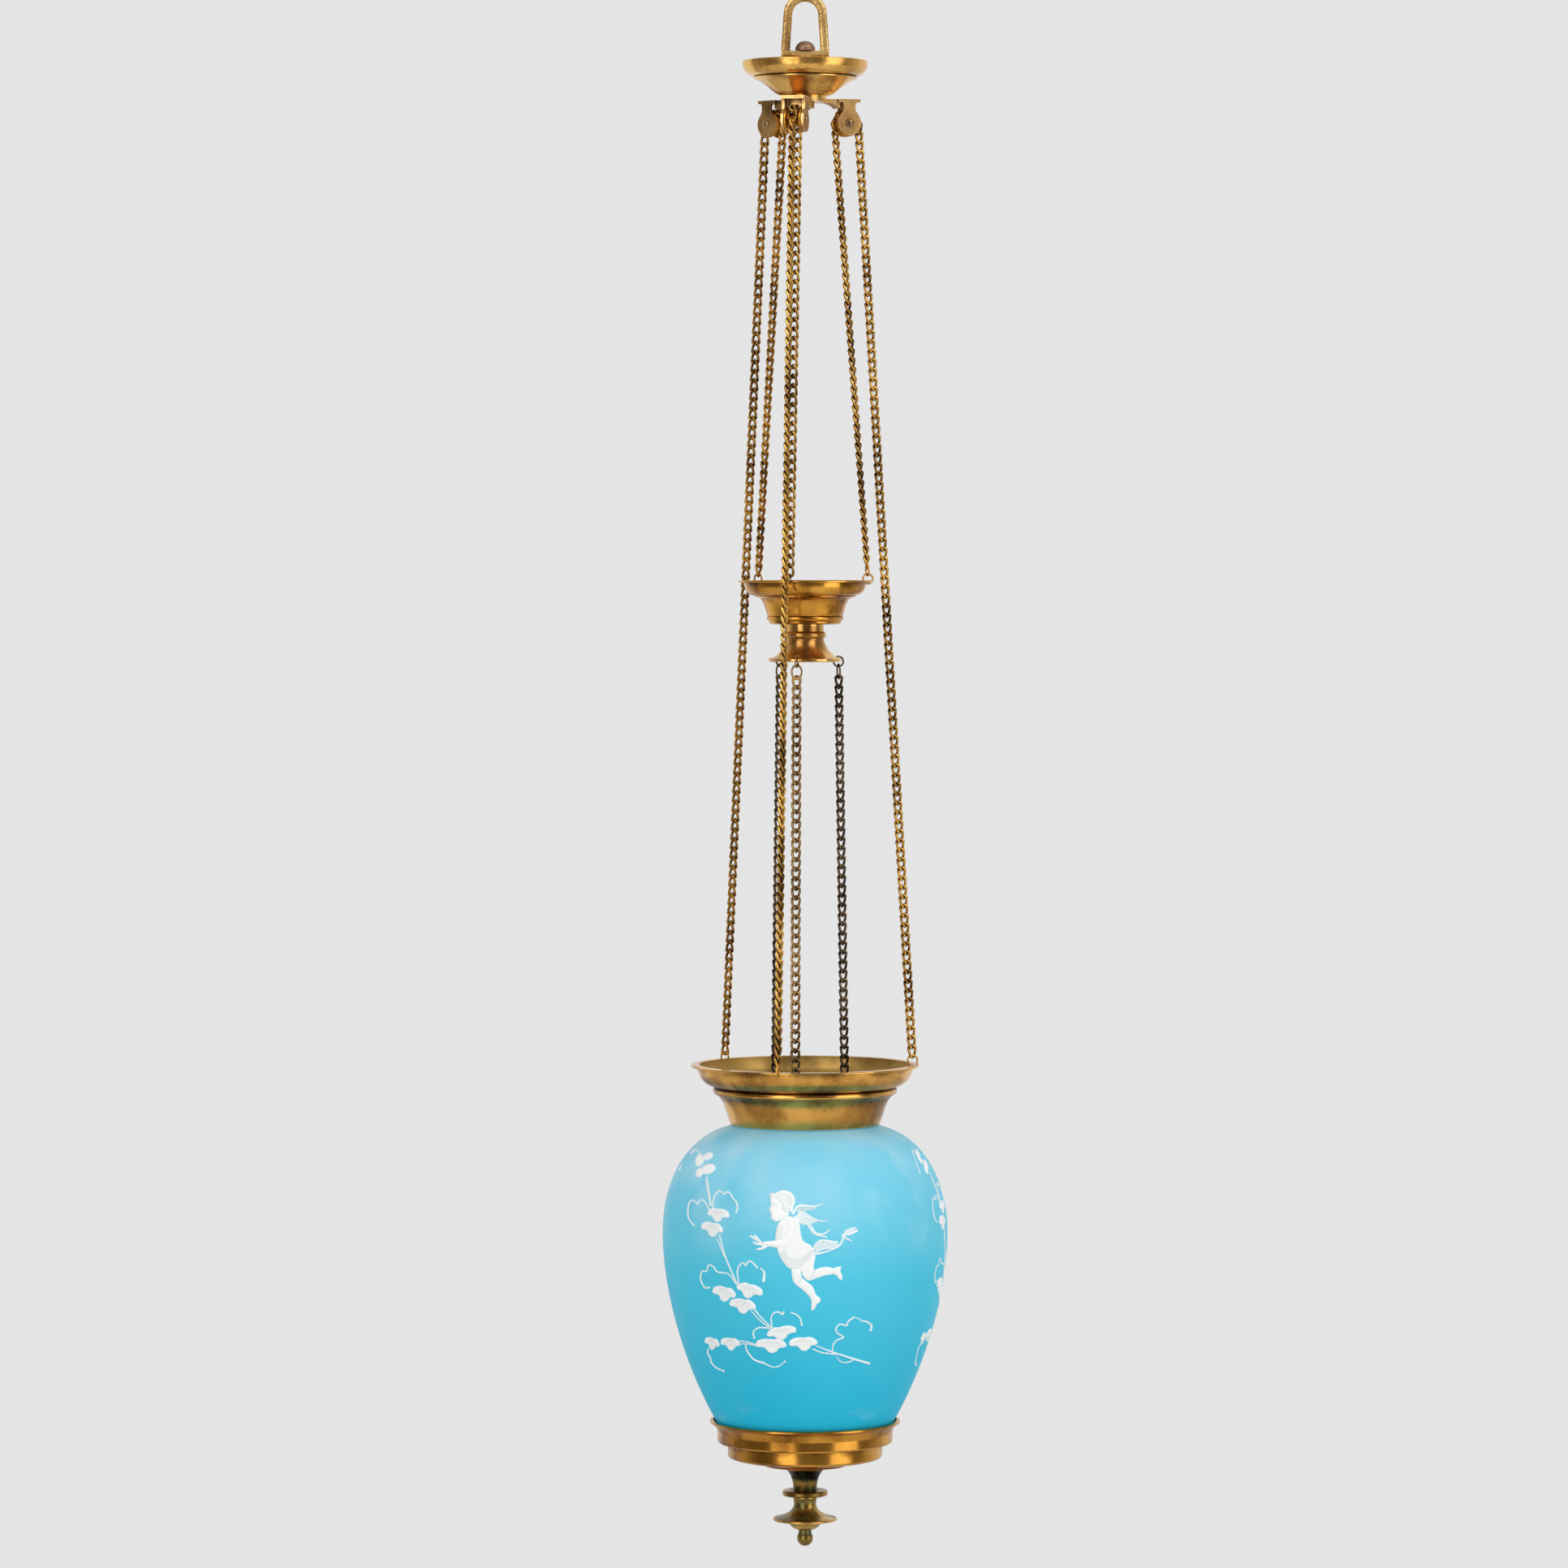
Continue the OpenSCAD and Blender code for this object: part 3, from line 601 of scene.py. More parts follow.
# %% [markdown]
# ## The nine runs of chain
# Each arm has a run from the crown up to its pulley, a bend over the pulley and a run down to the
# counterweight. A third, sooted run hangs from the counterweight's foot and carries the candle cup. The
# rings at the ends hang in holes close to the rims. When the lamp is pulled down, real links pass over the
# pulley.

# %% Chains from rim to pulley, over the pulley and down
# The lips with the holes, and how the rings sit in them
LIP = 1.3 * MM
HOLE_INSET = 1 * MM
RING_HANG = 2.16 * MM
HOOK = RING_R - RING_WIRE / 2 - LINK_PLAY
# The flange of the counterweight's foot, and how much longer than a ring the eyes in it are
FLANGE = 2.21 * MM
EYE = 1.1 * MM
WRAP_LINKS = 4
UP = Vector((0, 0, 1))
TWIST = 14
# The angles that the flat sides of the lifting, the falling and the candle chain face
FLAT_SIDES = {"right": (50, 62, 48), "front": (74, 142, 30), "left": (140, 50, 52)}
wrap_step = math.pi / WRAP_LINKS
joint_r = PITCH / 2 / math.sin(wrap_step / 2)
apothem = joint_r * math.cos(wrap_step / 2)


def rim_ring(node, outward):
    """Where a ring hangs in the lip of a turned piece."""
    low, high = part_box(node)
    return outward * (high.x - HOLE_INSET) + UP * (high.z - LIP + RING_HANG)


def hook(ring, towards):
    """The point inside a ring that the last link pulls on."""
    return ring + (towards - ring).normalized() * HOOK


def shared_movement(chain):
    """Bakes the placement of a run of chain into its mesh."""
    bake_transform(chain)


def finished_chain(chain, finish, node):
    """Gives a run of chain its material and hides the solid it stands for."""
    coat(chain, finish)
    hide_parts(node)


def second_ring(first, towards, outward, longer):
    """A ring or an eye that hangs in the first ring, and the point on it that the chain pulls on."""
    along = (towards - first).normalized()
    centre = first + along * (2 * HOOK + longer)
    across = along.cross(outward).normalized()
    return end_ring(centre, along, across, longer), centre + along * (HOOK + longer)


for joint in frame["joints"]:
    if joint["type"] != "hinge":
        continue
    arm = joint["child"].removeprefix("pulley_")
    lift_face, fall_face, candle_face = FLAT_SIDES[arm]
    pin = Vector(joint["pos_m"])
    outward = Vector((pin.x, pin.y, 0)).normalized()
    tangent = Vector((-outward.y, outward.x, 0))
    outer, inner = pin + outward * joint_r, pin - outward * joint_r

    crown = rim_ring("crown_ring", outward)
    runs = [strand(outer, hook(crown, outer), lift_face, TWIST), end_ring(crown, UP, outward)]
    lift = joined("chain_lift_" + arm, runs)
    finished_chain(lift, chain_brass, "lift_chain_" + arm)
    shared_movement(lift)

    rim = rim_ring("counterweight_bowl", outward)
    runs = [end_ring(rim, UP, outward)]
    end = hook(rim, inner)
    if arm == "right":
        ring, end = second_ring(rim, inner, outward, 0)
        runs.append(ring)
    fall = joined("chain_fall_" + arm, [strand(inner, end, fall_face, -TWIST)] + runs)
    finished_chain(fall, chain_brass, "weight_chain_" + arm)
    shared_movement(fall)

    over = []
    for step in range(WRAP_LINKS):
        turn = (step + 0.5) * wrap_step
        spoke = outward * math.cos(turn) + UP * math.sin(turn)
        link = curb_link()
        set_in_place(link, axes(tangent, spoke.cross(tangent), pin + spoke * apothem))
        over.append(link)
    dressed(joined("chain_over_" + arm, over), "hanger", chain_brass, "chain_brass", "chain_wrap_" + arm)

    low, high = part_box("counterweight_foot")
    foot = outward * (high.x - HOLE_INSET) + UP * (low.z + FLANGE - RING_HANG)
    dish = rim_ring("candle_dish", outward)
    eye, start = second_ring(foot, dish, outward, EYE)
    runs = [strand(start, hook(dish, foot), candle_face, TWIST), eye]
    runs += [end_ring(place, UP, outward) for place in (foot, dish)]
    candle = joined("chain_candle_" + arm, runs)
    # The front candle chain gets the paler copy: painted light on the chain that faces the lamps.
    finish = lit_sooted_brass if arm == "front" else sooted_brass
    dressed(candle, "counterweight", finish, "sooted_chain", "candle_chain_" + arm)
    print(arm, "chain faces:", sum(len(chain.data.polygons) for chain in (lift, fall, candle)))

# %% [markdown]
# ## The glass
# The vase is blown opaline glass with a satin surface. Its outline is three smooth curves: a short neck in
# the crown, a round shoulder and a long body that narrows to the base. The outline is drawn once and spun
# about the axis, and Solidify gives the wall its thickness on the inside.

# %% Spin the vase
GLASS_WALL = 2.6 * MM
SEAM = 0.01 * MM
NECK_R = 42.6 * MM
SKIRT_R = 44.4 * MM
FOOT_R = 46.6 * MM
FOOT_SLOPE = 0.656
BELLY = 0.344
NECK_STEPS, SHOULDER_STEPS, BODY_STEPS, ROUND_STEPS = 8, 24, 32, 144
# The glass's own faint painted glow; no lamp is inside it.
PAINTED_GLOW = 0.11
SHOULDER_R = 52 * MM
SPECKS = 75
SPECK_SIZE = 0.03
glass_low, glass_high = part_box("glass_vase")
skirt_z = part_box("crown_ring")[0].z
glass_r = glass_high.x
glass_h = skirt_z - glass_low.z


def bezier(points, steps):
    """Points along the curve with these control points."""
    line = []
    for t in np.linspace(0, 1, steps + 1):
        row = [np.array(p, float) for p in points]
        while len(row) > 1:
            row = [a * (1 - t) + b * t for a, b in zip(row, row[1:])]
        line.append(row[0])
    return line


shoulder_start = (SKIRT_R + 3.6 * MM, -2.5 * MM)
belly = (glass_r, -BELLY * glass_h)
neck_line = bezier([(NECK_R, 0.6 * MM), (NECK_R, -0.9 * MM), (NECK_R + 1.8 * MM, -1.3 * MM),
                    shoulder_start], NECK_STEPS)
shoulder_line = bezier([shoulder_start, (SKIRT_R + 0.64 * (glass_r - SKIRT_R), -0.047 * glass_h),
                        (glass_r, -0.178 * glass_h), belly], SHOULDER_STEPS)
body_line = bezier([belly, (glass_r, -0.564 * glass_h),
                    (FOOT_R + FOOT_SLOPE * 0.17 * glass_h, -0.83 * glass_h),
                    (FOOT_R, -glass_h)], BODY_STEPS)
outline = [np.array((NECK_R, glass_high.z - skirt_z))] + neck_line + shoulder_line[1:] + body_line[1:]
outline = np.array(outline)

glass_mesh = bpy.data.meshes.new("glass")
glass_mesh.from_pydata([(r, 0, z + skirt_z) for r, z in outline],
                       [(i, i + 1) for i in range(len(outline) - 1)], [])
glass = bpy.data.objects.new("glass", glass_mesh)
scene.collection.objects.link(glass)
edit(
    glass,
    lambda: bpy.ops.mesh.spin(steps=ROUND_STEPS, angle=2 * math.pi, center=(0, 0, 0), axis=(0, 0, 1)),
    lambda: bpy.ops.mesh.select_all(action="SELECT"),
    lambda: bpy.ops.mesh.remove_doubles(threshold=SEAM),
    lambda: bpy.ops.mesh.normals_make_consistent(inside=False),
)
modified(glass, "SOLIDIFY", thickness=GLASS_WALL, offset=-1, use_even_offset=True)
only(glass)
bpy.ops.object.shade_smooth_by_angle(angle=SHARP)


def opaline():
    """Satin turquoise glass with dusty patches and specks. It is painted paler towards the shoulder as a
    highlight, with a painted sheen at its sides and a faint painted glow of its own.
    """
    finish = Finish("opaline")
    rise = finish.between(glass_low.z, skirt_z)
    across = finish.node("ShaderNodeSeparateXYZ", {}, finish.place, out="X")
    # Stronger towards the left and right sides, where the painted sheen lies.
    aside = (across * across * (1 / SHOULDER_R**2)).held()
    cloud = finish.noise(14, 3)
    grain = finish.noise(1500, 2)
    # Darker at the bottom and paler towards the shoulder: painted shade and highlight, with random clouding.
    deep = finish.mix((rise * 1.7 + cloud * 0.3 - 0.15).held(), srgb(24, 184, 220), srgb(82, 202, 230))
    colour = finish.mix(((rise - 0.55) * 2.2).held(), deep, srgb(136, 212, 238))
    # Whitish patches at the shoulder: partly a dusty film, partly a painted sheen at the sides.
    dust_and_sheen = ((finish.noise(27, 4, stretch=(1, 1, 0.6)) - 0.4) * 3).held() * ((rise - 0.6) * 4).held()
    dust_and_sheen = dust_and_sheen * (0.35 + 0.65 * aside)
    smear = ((finish.noise(30, 2, stretch=(1, 1, 3)) - 0.6) * 5).held() * ((0.22 - rise) * 7).held()
    cells = finish.node("ShaderNodeTexVoronoi", {}, finish.place, Scale=SPECKS, out="Distance")
    speck = ((SPECK_SIZE - cells) * 60).held()
    marks_and_sheen = (dust_and_sheen * 0.62 + smear * 0.16 + speck * 0.55 + (grain - 0.5) * 0.1).held()
    colour = finish.mix(marks_and_sheen, colour, srgb(222, 240, 246))
    bump = finish.node("ShaderNodeBump", {}, Strength=0.06, Distance=0.1 * MM, Height=grain)
    # The emission is the painted glow.
    return finish.surface(Base_Color=colour, Roughness=0.4 + 0.1 * cloud, Normal=bump,
                          Emission_Color=colour, Emission_Strength=PAINTED_GLOW, Specular_IOR_Level=0.06)


def plaster():
    """Off-white plaster that beds the glass in the brass."""
    finish = Finish("plaster")
    pits = finish.noise(900, 4)
    colour = finish.mix(pits, srgb(206, 200, 184), srgb(226, 222, 210))
    bump = finish.node("ShaderNodeBump", {}, Strength=0.3, Distance=0.3 * MM, Height=pits)
    return finish.surface(Base_Color=colour, Roughness=0.85, Normal=bump)


dressed(glass, "lamp", opaline(), "opaline", "glass_vase")
plaster_finish = plaster()
for node, finish in (("crown_bed", plaster_finish), ("base_bed", plaster_finish), ("ballast", cast_lead)):
    coat(frame["nodes"][node], finish)
print("glass:", len(glass.data.polygons), "faces, widest", round(2 * glass_r / MM, 1), "mm")

# %% [markdown]
# ## Enamel as a height map
# The white enamel was laid on the glass with a brush and fired, so it stands up like thick paint: strokes
# with round backs, petals with raised edges, and a little winged child in soft relief. Modelling that with
# vertices one by one would take days. Instead a fine grid lies over a part of the glass, and every stroke
# lifts the grid points below it. A shape that is laid over another one leaves a shallow groove around
# itself, as wet paint does. Bare places lie under the glass, and their faces are removed.

# %% A relief that strokes are laid on
BARE = -0.25
GROOVE = 0.45
MARGIN = 1.6
THIN, THICK = 0.02, 0.30
# A new layer presses older enamel down by this share around itself, and this share shows through it
PRESSED, SHOW_THROUGH = 0.5, 0.45
BANK_SLOPE = 0.8
# A faint painted glow that lifts the white enamel.
ENAMEL_PAINTED_GLOW = 0.07


def smooth_line(points, closed=False, steps=6):
    """A smooth curve through the points."""
    p = np.array(points, float)
    if closed:
        p = np.concatenate([p[-1:], p, p[:2]])
    else:
        p = np.concatenate([2 * p[:1] - p[1:2], p, 2 * p[-1:] - p[-2:-1]])
    t = np.linspace(0, 1, steps, endpoint=False)[:, None]
    line = [0.5 * (2 * b + (c - a) * t + (2 * a - 5 * b + 4 * c - d) * t**2 + (3 * b - a - 3 * c + d) * t**3)
            for a, b, c, d in zip(p, p[1:], p[2:], p[3:])]
    return np.concatenate(line + [p[-2:-1]])


class Relief:
    """Heights over a drawing on the glass, all in millimetres, right and up from the belly's middle."""

    def __init__(self, right, up):
        self.right, self.up = right, up
        self.height = np.full(right.shape, BARE)
        self.line = np.zeros(right.shape)

    def near(self, line):
        """The grid points in the box around a line."""
        low, high = line.min(0) - MARGIN, line.max(0) + MARGIN
        inside = (self.right > low[0]) & (self.right < high[0]) & (self.up > low[1]) & (self.up < high[1])
        return np.nonzero(inside)[0]

    def depth_in(self, where, line, widths):
        """How far inside a stroke with these half widths each point lies."""
        x, y = self.right[where], self.up[where]
        best = np.full(len(where), -9.0)
        for (ax, ay), (bx, by), wide, wider in zip(line, line[1:], widths, widths[1:]):
            dx, dy = bx - ax, by - ay
            t = np.clip(((x - ax) * dx + (y - ay) * dy) / (dx * dx + dy * dy + 1e-9), 0, 1)
            best = np.maximum(best, wide + (wider - wide) * t - np.hypot(x - ax - t * dx, y - ay - t * dy))
        return best

    def enclosed(self, where, line):
        """True for points inside a closed line."""
        x, y = self.right[where], self.up[where]
        odd = np.zeros(len(where), bool)
        for (ax, ay), (bx, by) in zip(line, line[1:]):
            crosses = (ay > y) != (by > y)
            odd ^= crosses & (x < (bx - ax) * (y - ay) / (by - ay + 1e-12) + ax)
        return odd

    def lay(self, where, depth, lift, edge, dish):
        """Lays a padded shape over what is there. A dish makes its middle thinner than its edge."""
        pad = lift * np.sqrt(np.clip(1 - (1 - np.clip(depth / edge, 0, 1)) ** 2, 0, 1))
        pad -= dish * np.clip((depth - edge) / (2 * edge), 0, 1)
        old = self.height[where]
        pressed = old * (1 - PRESSED * np.clip(1 + depth / GROOVE, 0, 1))
        beyond = np.where(old > 0, pressed, np.maximum(old, BANK_SLOPE * depth))
        self.height[where] = np.where(depth > 0, np.maximum(pad, SHOW_THROUGH * old), beyond)

    def stroke(self, points, start, end, lift=0.42):
        """A brush stroke whose half width runs from start to end."""
        line = smooth_line(points)
        where = self.near(line)
        depth = self.depth_in(where, line, np.linspace(start, end, len(line)))
        self.lay(where, depth, lift, max(start, end), 0)

    def shape(self, points, lift=0.7, edge=2.0, dish=0.0):
        """A closed, padded shape."""
        line = smooth_line(points, closed=True)
        where = self.near(line)
        gap = -self.depth_in(where, line, np.zeros(len(line)))
        self.lay(where, np.where(self.enclosed(where, line), gap, -gap), lift, edge, dish)

    def cut(self, points, depth=0.16, width=0.28):
        """A fine line drawn into the wet enamel."""
        line = smooth_line(points)
        where = self.near(line)
        gap = self.depth_in(where, line, np.zeros(len(line)))
        mark = np.exp(-((gap / width) ** 2)) * (self.height[where] > 0.1)
        self.height[where] -= depth * mark
        self.line[where] = np.maximum(self.line[where], mark)


def enamel_white():
    """White enamel, bluish where it is thin and a little grey in its drawn lines, with a faint painted glow.
    """
    finish = Finish("enamel")
    thick = finish.node("ShaderNodeAttribute", {"attribute_name": "thick"}, out="Fac")
    line = finish.node("ShaderNodeAttribute", {"attribute_name": "line"}, out="Fac")
    white = finish.mix(finish.noise(300, 3), srgb(248, 253, 254), srgb(254, 255, 255))
    colour = finish.mix(thick, srgb(178, 222, 234), white)
    drawn = finish.mix(line * 0.4, colour, srgb(158, 178, 186))
    return finish.surface(Base_Color=drawn, Roughness=0.38, Emission_Color=drawn,
                          Emission_Strength=ENAMEL_PAINTED_GLOW)


enamel_finish = enamel_white()
belly_z = skirt_z - BELLY * glass_h
profile_z = np.linspace(-0.13, 0.07, 401)
profile_r = np.interp(profile_z, outline[::-1, 1] + skirt_z - belly_z, outline[::-1, 0])
profile_slope = np.gradient(profile_r, profile_z)


def enamel(name, turn, rise, spacing, draw, wrap=None, lean=0):
    """A patch of enamel between two angles in degrees and two heights from the belly in millimetres.

    The grid's spacing is in millimetres too. The drawing is seen from the front, or it leans and is wrapped
    round the glass about an angle."""
    across = round(math.radians(turn[1] - turn[0]) * glass_r / MM / spacing)
    bpy.ops.object.select_all(action="DESELECT")
    bpy.ops.mesh.primitive_grid_add(
        x_subdivisions=across, y_subdivisions=round((rise[1] - rise[0]) / spacing), size=2)
    patch = bpy.context.object
    patch.name = name
    mesh = patch.data
    flat = np.empty(3 * len(mesh.vertices))
    mesh.vertices.foreach_get("co", flat)
    angle = np.radians(np.interp(flat[0::3], (-1, 1), turn))
    up = np.interp(flat[1::3], (-1, 1), rise)
    radius = np.interp(up * MM, profile_z, profile_r)
    slope = np.interp(up * MM, profile_z, profile_slope)
    right = radius * np.sin(angle)
    if wrap is not None:
        right = glass_r * (angle - math.radians(wrap)) - lean * up * MM
    relief = Relief(right / MM, up)
    draw(relief)
    lift = relief.height * MM / np.hypot(1, slope)
    out, z = radius + lift, up * MM + belly_z - lift * slope
    mesh.vertices.foreach_set("co", np.stack([out * np.sin(angle), -out * np.cos(angle), z], 1).ravel())
    for key, values in (("thick", (relief.height - THIN) / (THICK - THIN)), ("line", relief.line)):
        mesh.attributes.new(key, "FLOAT", "POINT").data.foreach_set("value", np.clip(values, 0, 1))

    corners = np.empty(4 * len(mesh.polygons), int)
    mesh.polygons.foreach_get("vertices", corners)
    bare = (relief.height[corners.reshape(-1, 4)] < 0).all(axis=1)
    mesh.polygons.foreach_set("select", bare)
    only(patch)
    scene.tool_settings.mesh_select_mode = (False, False, True)
    bpy.ops.object.mode_set(mode="EDIT")
    bpy.ops.mesh.delete(type="FACE")
    bpy.ops.object.mode_set(mode="OBJECT")
    bpy.ops.object.shade_smooth()
    dressed(patch, "lamp", enamel_finish, "opaline")
    print(name, "has", len(mesh.polygons), "faces")


print("the enamel's drawings are centred", round(-belly_z / MM), "mm below the top of the loop")

# %% [markdown]
# ## The winged child
# A running child with small wings, a tunic and a loose sash is one of the oldest figures in ornament. It is
# laid from back to front: the wings and the sash first, then the far leg, the near leg, the tunic, the arm,
# the face and the hair. Fine cuts draw the folds, the feathers and the locks.

# %% Lay the figure
FIGURE_SPACING = 0.36
CURL_TURN = 5.2


def winged_child(relief):
    """The figure, with its middle near the middle of the glass."""
    # The wings and the sash: thin films first, then the strokes on them
    film = {"lift": 0.17, "edge": 0.6}
    relief.shape([(-5, 20), (-3, 23.4), (1, 23.4), (6, 23.2), (5.4, 21.6), (1, 20.6), (-2, 19.6)], **film)
    relief.shape([(-5, 16.6), (-2.6, 19), (0, 18.6), (3.4, 16.4), (6.6, 14.8), (3.6, 13.4), (0.4, 13),
                  (-3, 14)], **film)
    relief.shape([(5, -2), (6.3, 1.6), (9, 3.4), (13, 3), (17.8, 2.2), (18.6, 0.2), (15, -0.8),
                  (9, -1.8)], **film)
    relief.shape([(21.9, 6.8), (23.2, 9.4), (26.2, 10.6), (29.4, 11), (28.4, 9), (25.6, 7.4)], **film)
    relief.stroke([(-7.4, 19.2), (-5.2, 22.5), (-2.9, 23.8), (1, 23.6), (5.2, 23.4), (8.4, 24.1),
                   (10.2, 24.9)], 0.7, 0.25)
    for lower in (0, 0.9, 1.8):
        relief.cut([(-4 + lower, 22 - lower), (0, 22.6 - lower), (5.6, 22.2 - lower)], 0.1)
    relief.stroke([(-6.4, 16.6), (-4.5, 18), (-2.6, 19.6), (-0.2, 19.1), (3, 17.2), (6.3, 15.6),
                   (9.6, 14.9), (12.8, 15.2)], 0.75, 0.25)
    relief.stroke([(-4.6, 17), (-2.8, 18.1), (0.6, 17.4), (3.4, 15.6), (6.4, 14.3)], 0.6, 0.25)
    relief.stroke([(-5, 16.2), (-2.4, 16.6), (0.4, 15.8), (2.6, 14.4)], 0.6, 0.25)
    relief.stroke([(-4.8, 15.6), (-2.4, 15.2), (-0.2, 14.4), (1.4, 13)], 0.65, 0.3)
    relief.stroke([(-4.2, 14.8), (-2.4, 13.9), (-0.9, 12.7)], 0.65, 0.3)
    relief.stroke([(0.6, 13.9), (3, 10.3), (4.9, 7.8), (8.4, 6.5), (12.2, 5.6)], 0.5, 0.35)
    relief.stroke([(2.4, 13.6), (4.6, 9.8), (6.2, 7.9), (10.4, 7.5), (13.9, 9.5)], 0.4, 0.4)
    relief.stroke([(4.4, -1.2), (6.2, 1.9), (8.9, 3.7), (12.1, 3.6), (15.4, 2.8), (18.4, 2.4)], 0.45, 0.6)
    relief.stroke([(5, -3.4), (9, -1.6), (13.2, -0.8), (17, -0.8), (19.8, 0.8), (21.4, 3.3),
                   (22.2, 6.2)], 0.4, 0.65)
    relief.stroke([(6, -4), (9.5, -3.5), (13.2, -2.4), (16.4, -1.5)], 0.65, 0.3)
    relief.stroke([(21.4, 6.4), (23, 7), (26.2, 7.1), (30, 9)], 0.5, 0.6)
    relief.stroke([(22.2, 6), (24, 4.4), (26.8, 3.1)], 0.6, 0.3)

    # The far leg, then the near one
    relief.shape([(-3.2, -12.4), (-2.1, -15.6), (-0.5, -18.3), (1.6, -19.8), (4.6, -19.1), (7.8, -17.9),
                  (11.6, -16.8), (15.4, -16.2), (17.3, -16.5), (19, -18.2), (20.2, -19.8), (21.3, -19.1),
                  (21.2, -16.7), (20.3, -14.3), (20.7, -11.8), (18.1, -12), (16.4, -12.6), (12.7, -11.8),
                  (8.9, -12.1), (5.5, -13.2), (4.8, -11.6), (5.3, -8.1), (5.7, -4.6), (3.5, -4.4),
                  (0.3, -8.5)])
    relief.cut([(5.4, -13.2), (4.4, -16.4), (2.4, -18.6)], 0.3, 0.4)
    relief.shape([(-7.8, -12), (-7.9, -16.7), (-7.2, -19.9), (-5.6, -22.2), (-2.4, -24.6), (0.8, -27.6),
                  (3, -30.6), (3.5, -34), (3.2, -36.7), (4.1, -37.6), (5.5, -36.1), (6.8, -33.5),
                  (8.5, -32.3), (8.5, -30.2), (6.9, -28.9), (5.8, -27.6), (5, -25.1), (3.5, -22.6),
                  (0.8, -20.6), (-1.8, -18.2), (-2.7, -15.6), (-3.4, -11.8)])
    relief.cut([(-2, -17.6), (-3, -20), (-4.2, -21.2)], 0.22, 0.35)

    # The tunic with its folds, then the arm and the fingers
    relief.shape([(-15.3, 14.1), (-16.3, 12), (-17.1, 8.6), (-17.5, 4.8), (-16.6, 0), (-15.7, -3.8),
                  (-13.7, -7.8), (-11, -11.3), (-7.8, -13.2), (-4.5, -13.1), (-0.8, -11.6), (2.5, -8.4),
                  (4.3, -4.9), (4.6, -1.6), (2.6, 1), (-0.8, 3), (-2.3, 5.4), (-3, 9.2), (-3.4, 12.4),
                  (-4.5, 15.1), (-7.2, 17), (-10.5, 17.8), (-13.1, 16.2)], lift=0.75, edge=1.6, dish=0.2)
    for share in (0.12, 0.36, 0.6, 0.84):
        relief.cut([(-15 + 3 * share, -4.3 + 3.6 * share), (-12.1 + 2.4 * share, -9.7 + 4.3 * share),
                    (-6.7 + 1.6 * share, -12.7 + 5.7 * share), (-0.8 + 0.3 * share, -10.2 + 5.4 * share),
                    (4.2 - 1.1 * share, -4.3 + 3 * share)], 0.3, 0.3)
    for aside in (0, 1.3, 2.6):
        relief.cut([(-15.4 + aside, 11.8), (-16 + 0.9 * aside, 8), (-16.4 + 0.9 * aside, 4.6)], 0.2, 0.3)
    relief.shape([(-9.1, 14.9), (-10.7, 11.3), (-12, 7.8), (-13.7, 5), (-16.4, 3.9), (-20.1, 3.2),
                  (-23.9, 2.7), (-26.1, 2), (-25.5, 0.4), (-23.6, -0.6), (-20.9, 0), (-18, -0.5),
                  (-14.2, -0.9), (-11, -0.3), (-8.6, 1.9), (-7, 5.9), (-6.4, 10.2),
                  (-7, 13.9)], lift=0.95, edge=2.2)
    relief.stroke([(-25.6, 1.8), (-29.4, 4.3), (-31.9, 5.6)], 0.75, 0.55)
    relief.stroke([(-25.8, 2), (-28.2, 4.7), (-29.5, 6.1)], 0.7, 0.5)
    relief.stroke([(-25.4, 1), (-28.4, 1.3), (-30.1, 2.1)], 0.7, 0.5)
    relief.stroke([(-23.2, 0), (-25.4, -1.3), (-28.1, -1.9)], 1.0, 0.5)

    # The face, then the hair with its locks
    relief.shape([(-20.3, 27.4), (-20, 25.2), (-20.2, 23.5), (-21.2, 21.6), (-20.5, 20.7), (-20.8, 20),
                  (-20.3, 19.4), (-20.6, 18.8), (-20, 18), (-20.2, 16.6), (-19.1, 15.3), (-16.6, 14.6),
                  (-12.6, 16.2), (-9.6, 19.4), (-10.4, 24.2), (-16, 28.2)], lift=0.85, edge=2.4)
    relief.cut([(-18.9, 22.9), (-17.6, 23.4), (-16.4, 22.7)], 0.25, 0.35)
    relief.cut([(-19, 24.4), (-17.6, 24.9), (-16.2, 24.4)], 0.12, 0.3)
    relief.cut([(-20.2, 19.5), (-19.2, 19.3)], 0.2, 0.25)
    relief.shape([(-20.7, 28), (-20.9, 29.8), (-19.4, 30.8), (-17.7, 30.4), (-15.6, 31.7), (-12.6, 32.3),
                  (-9.9, 31.8), (-7.8, 30.5), (-6.4, 28.3), (-6.2, 25.9), (-6.7, 23.7), (-7.4, 22),
                  (-7.7, 20.3), (-9.4, 19.7), (-11.5, 19.5), (-13.3, 20.6), (-13.5, 22.6), (-14.8, 24.6),
                  (-16.5, 26.6), (-18, 27.6), (-19.3, 27)], lift=1.0, edge=2.0)
    for share in (0, 0.33, 0.66, 1):
        relief.cut([(-17.4 + 3.4 * share, 28.7 - 4.4 * share), (-13.6 + 1.6 * share, 30.4 - 4.6 * share),
                    (-9.8 - 0.2 * share, 29.4 - 4.2 * share),
                    (-7.6 - 0.8 * share, 26.4 - 3 * share)], 0.24, 0.32)
    for x, y, size in ((-19.3, 29.1, 1.1), (-12.4, 22.6, 1.2), (-10.9, 21, 1.1), (-8.9, 20.8, 0.9)):
        curl = [(x + size * math.cos(a), y + size * math.sin(a)) for a in np.linspace(0, CURL_TURN, 9)]
        relief.cut(curl, 0.24, 0.3)


enamel("enamel_figure", (-25, 24), (-40, 35), FIGURE_SPACING, winged_child)

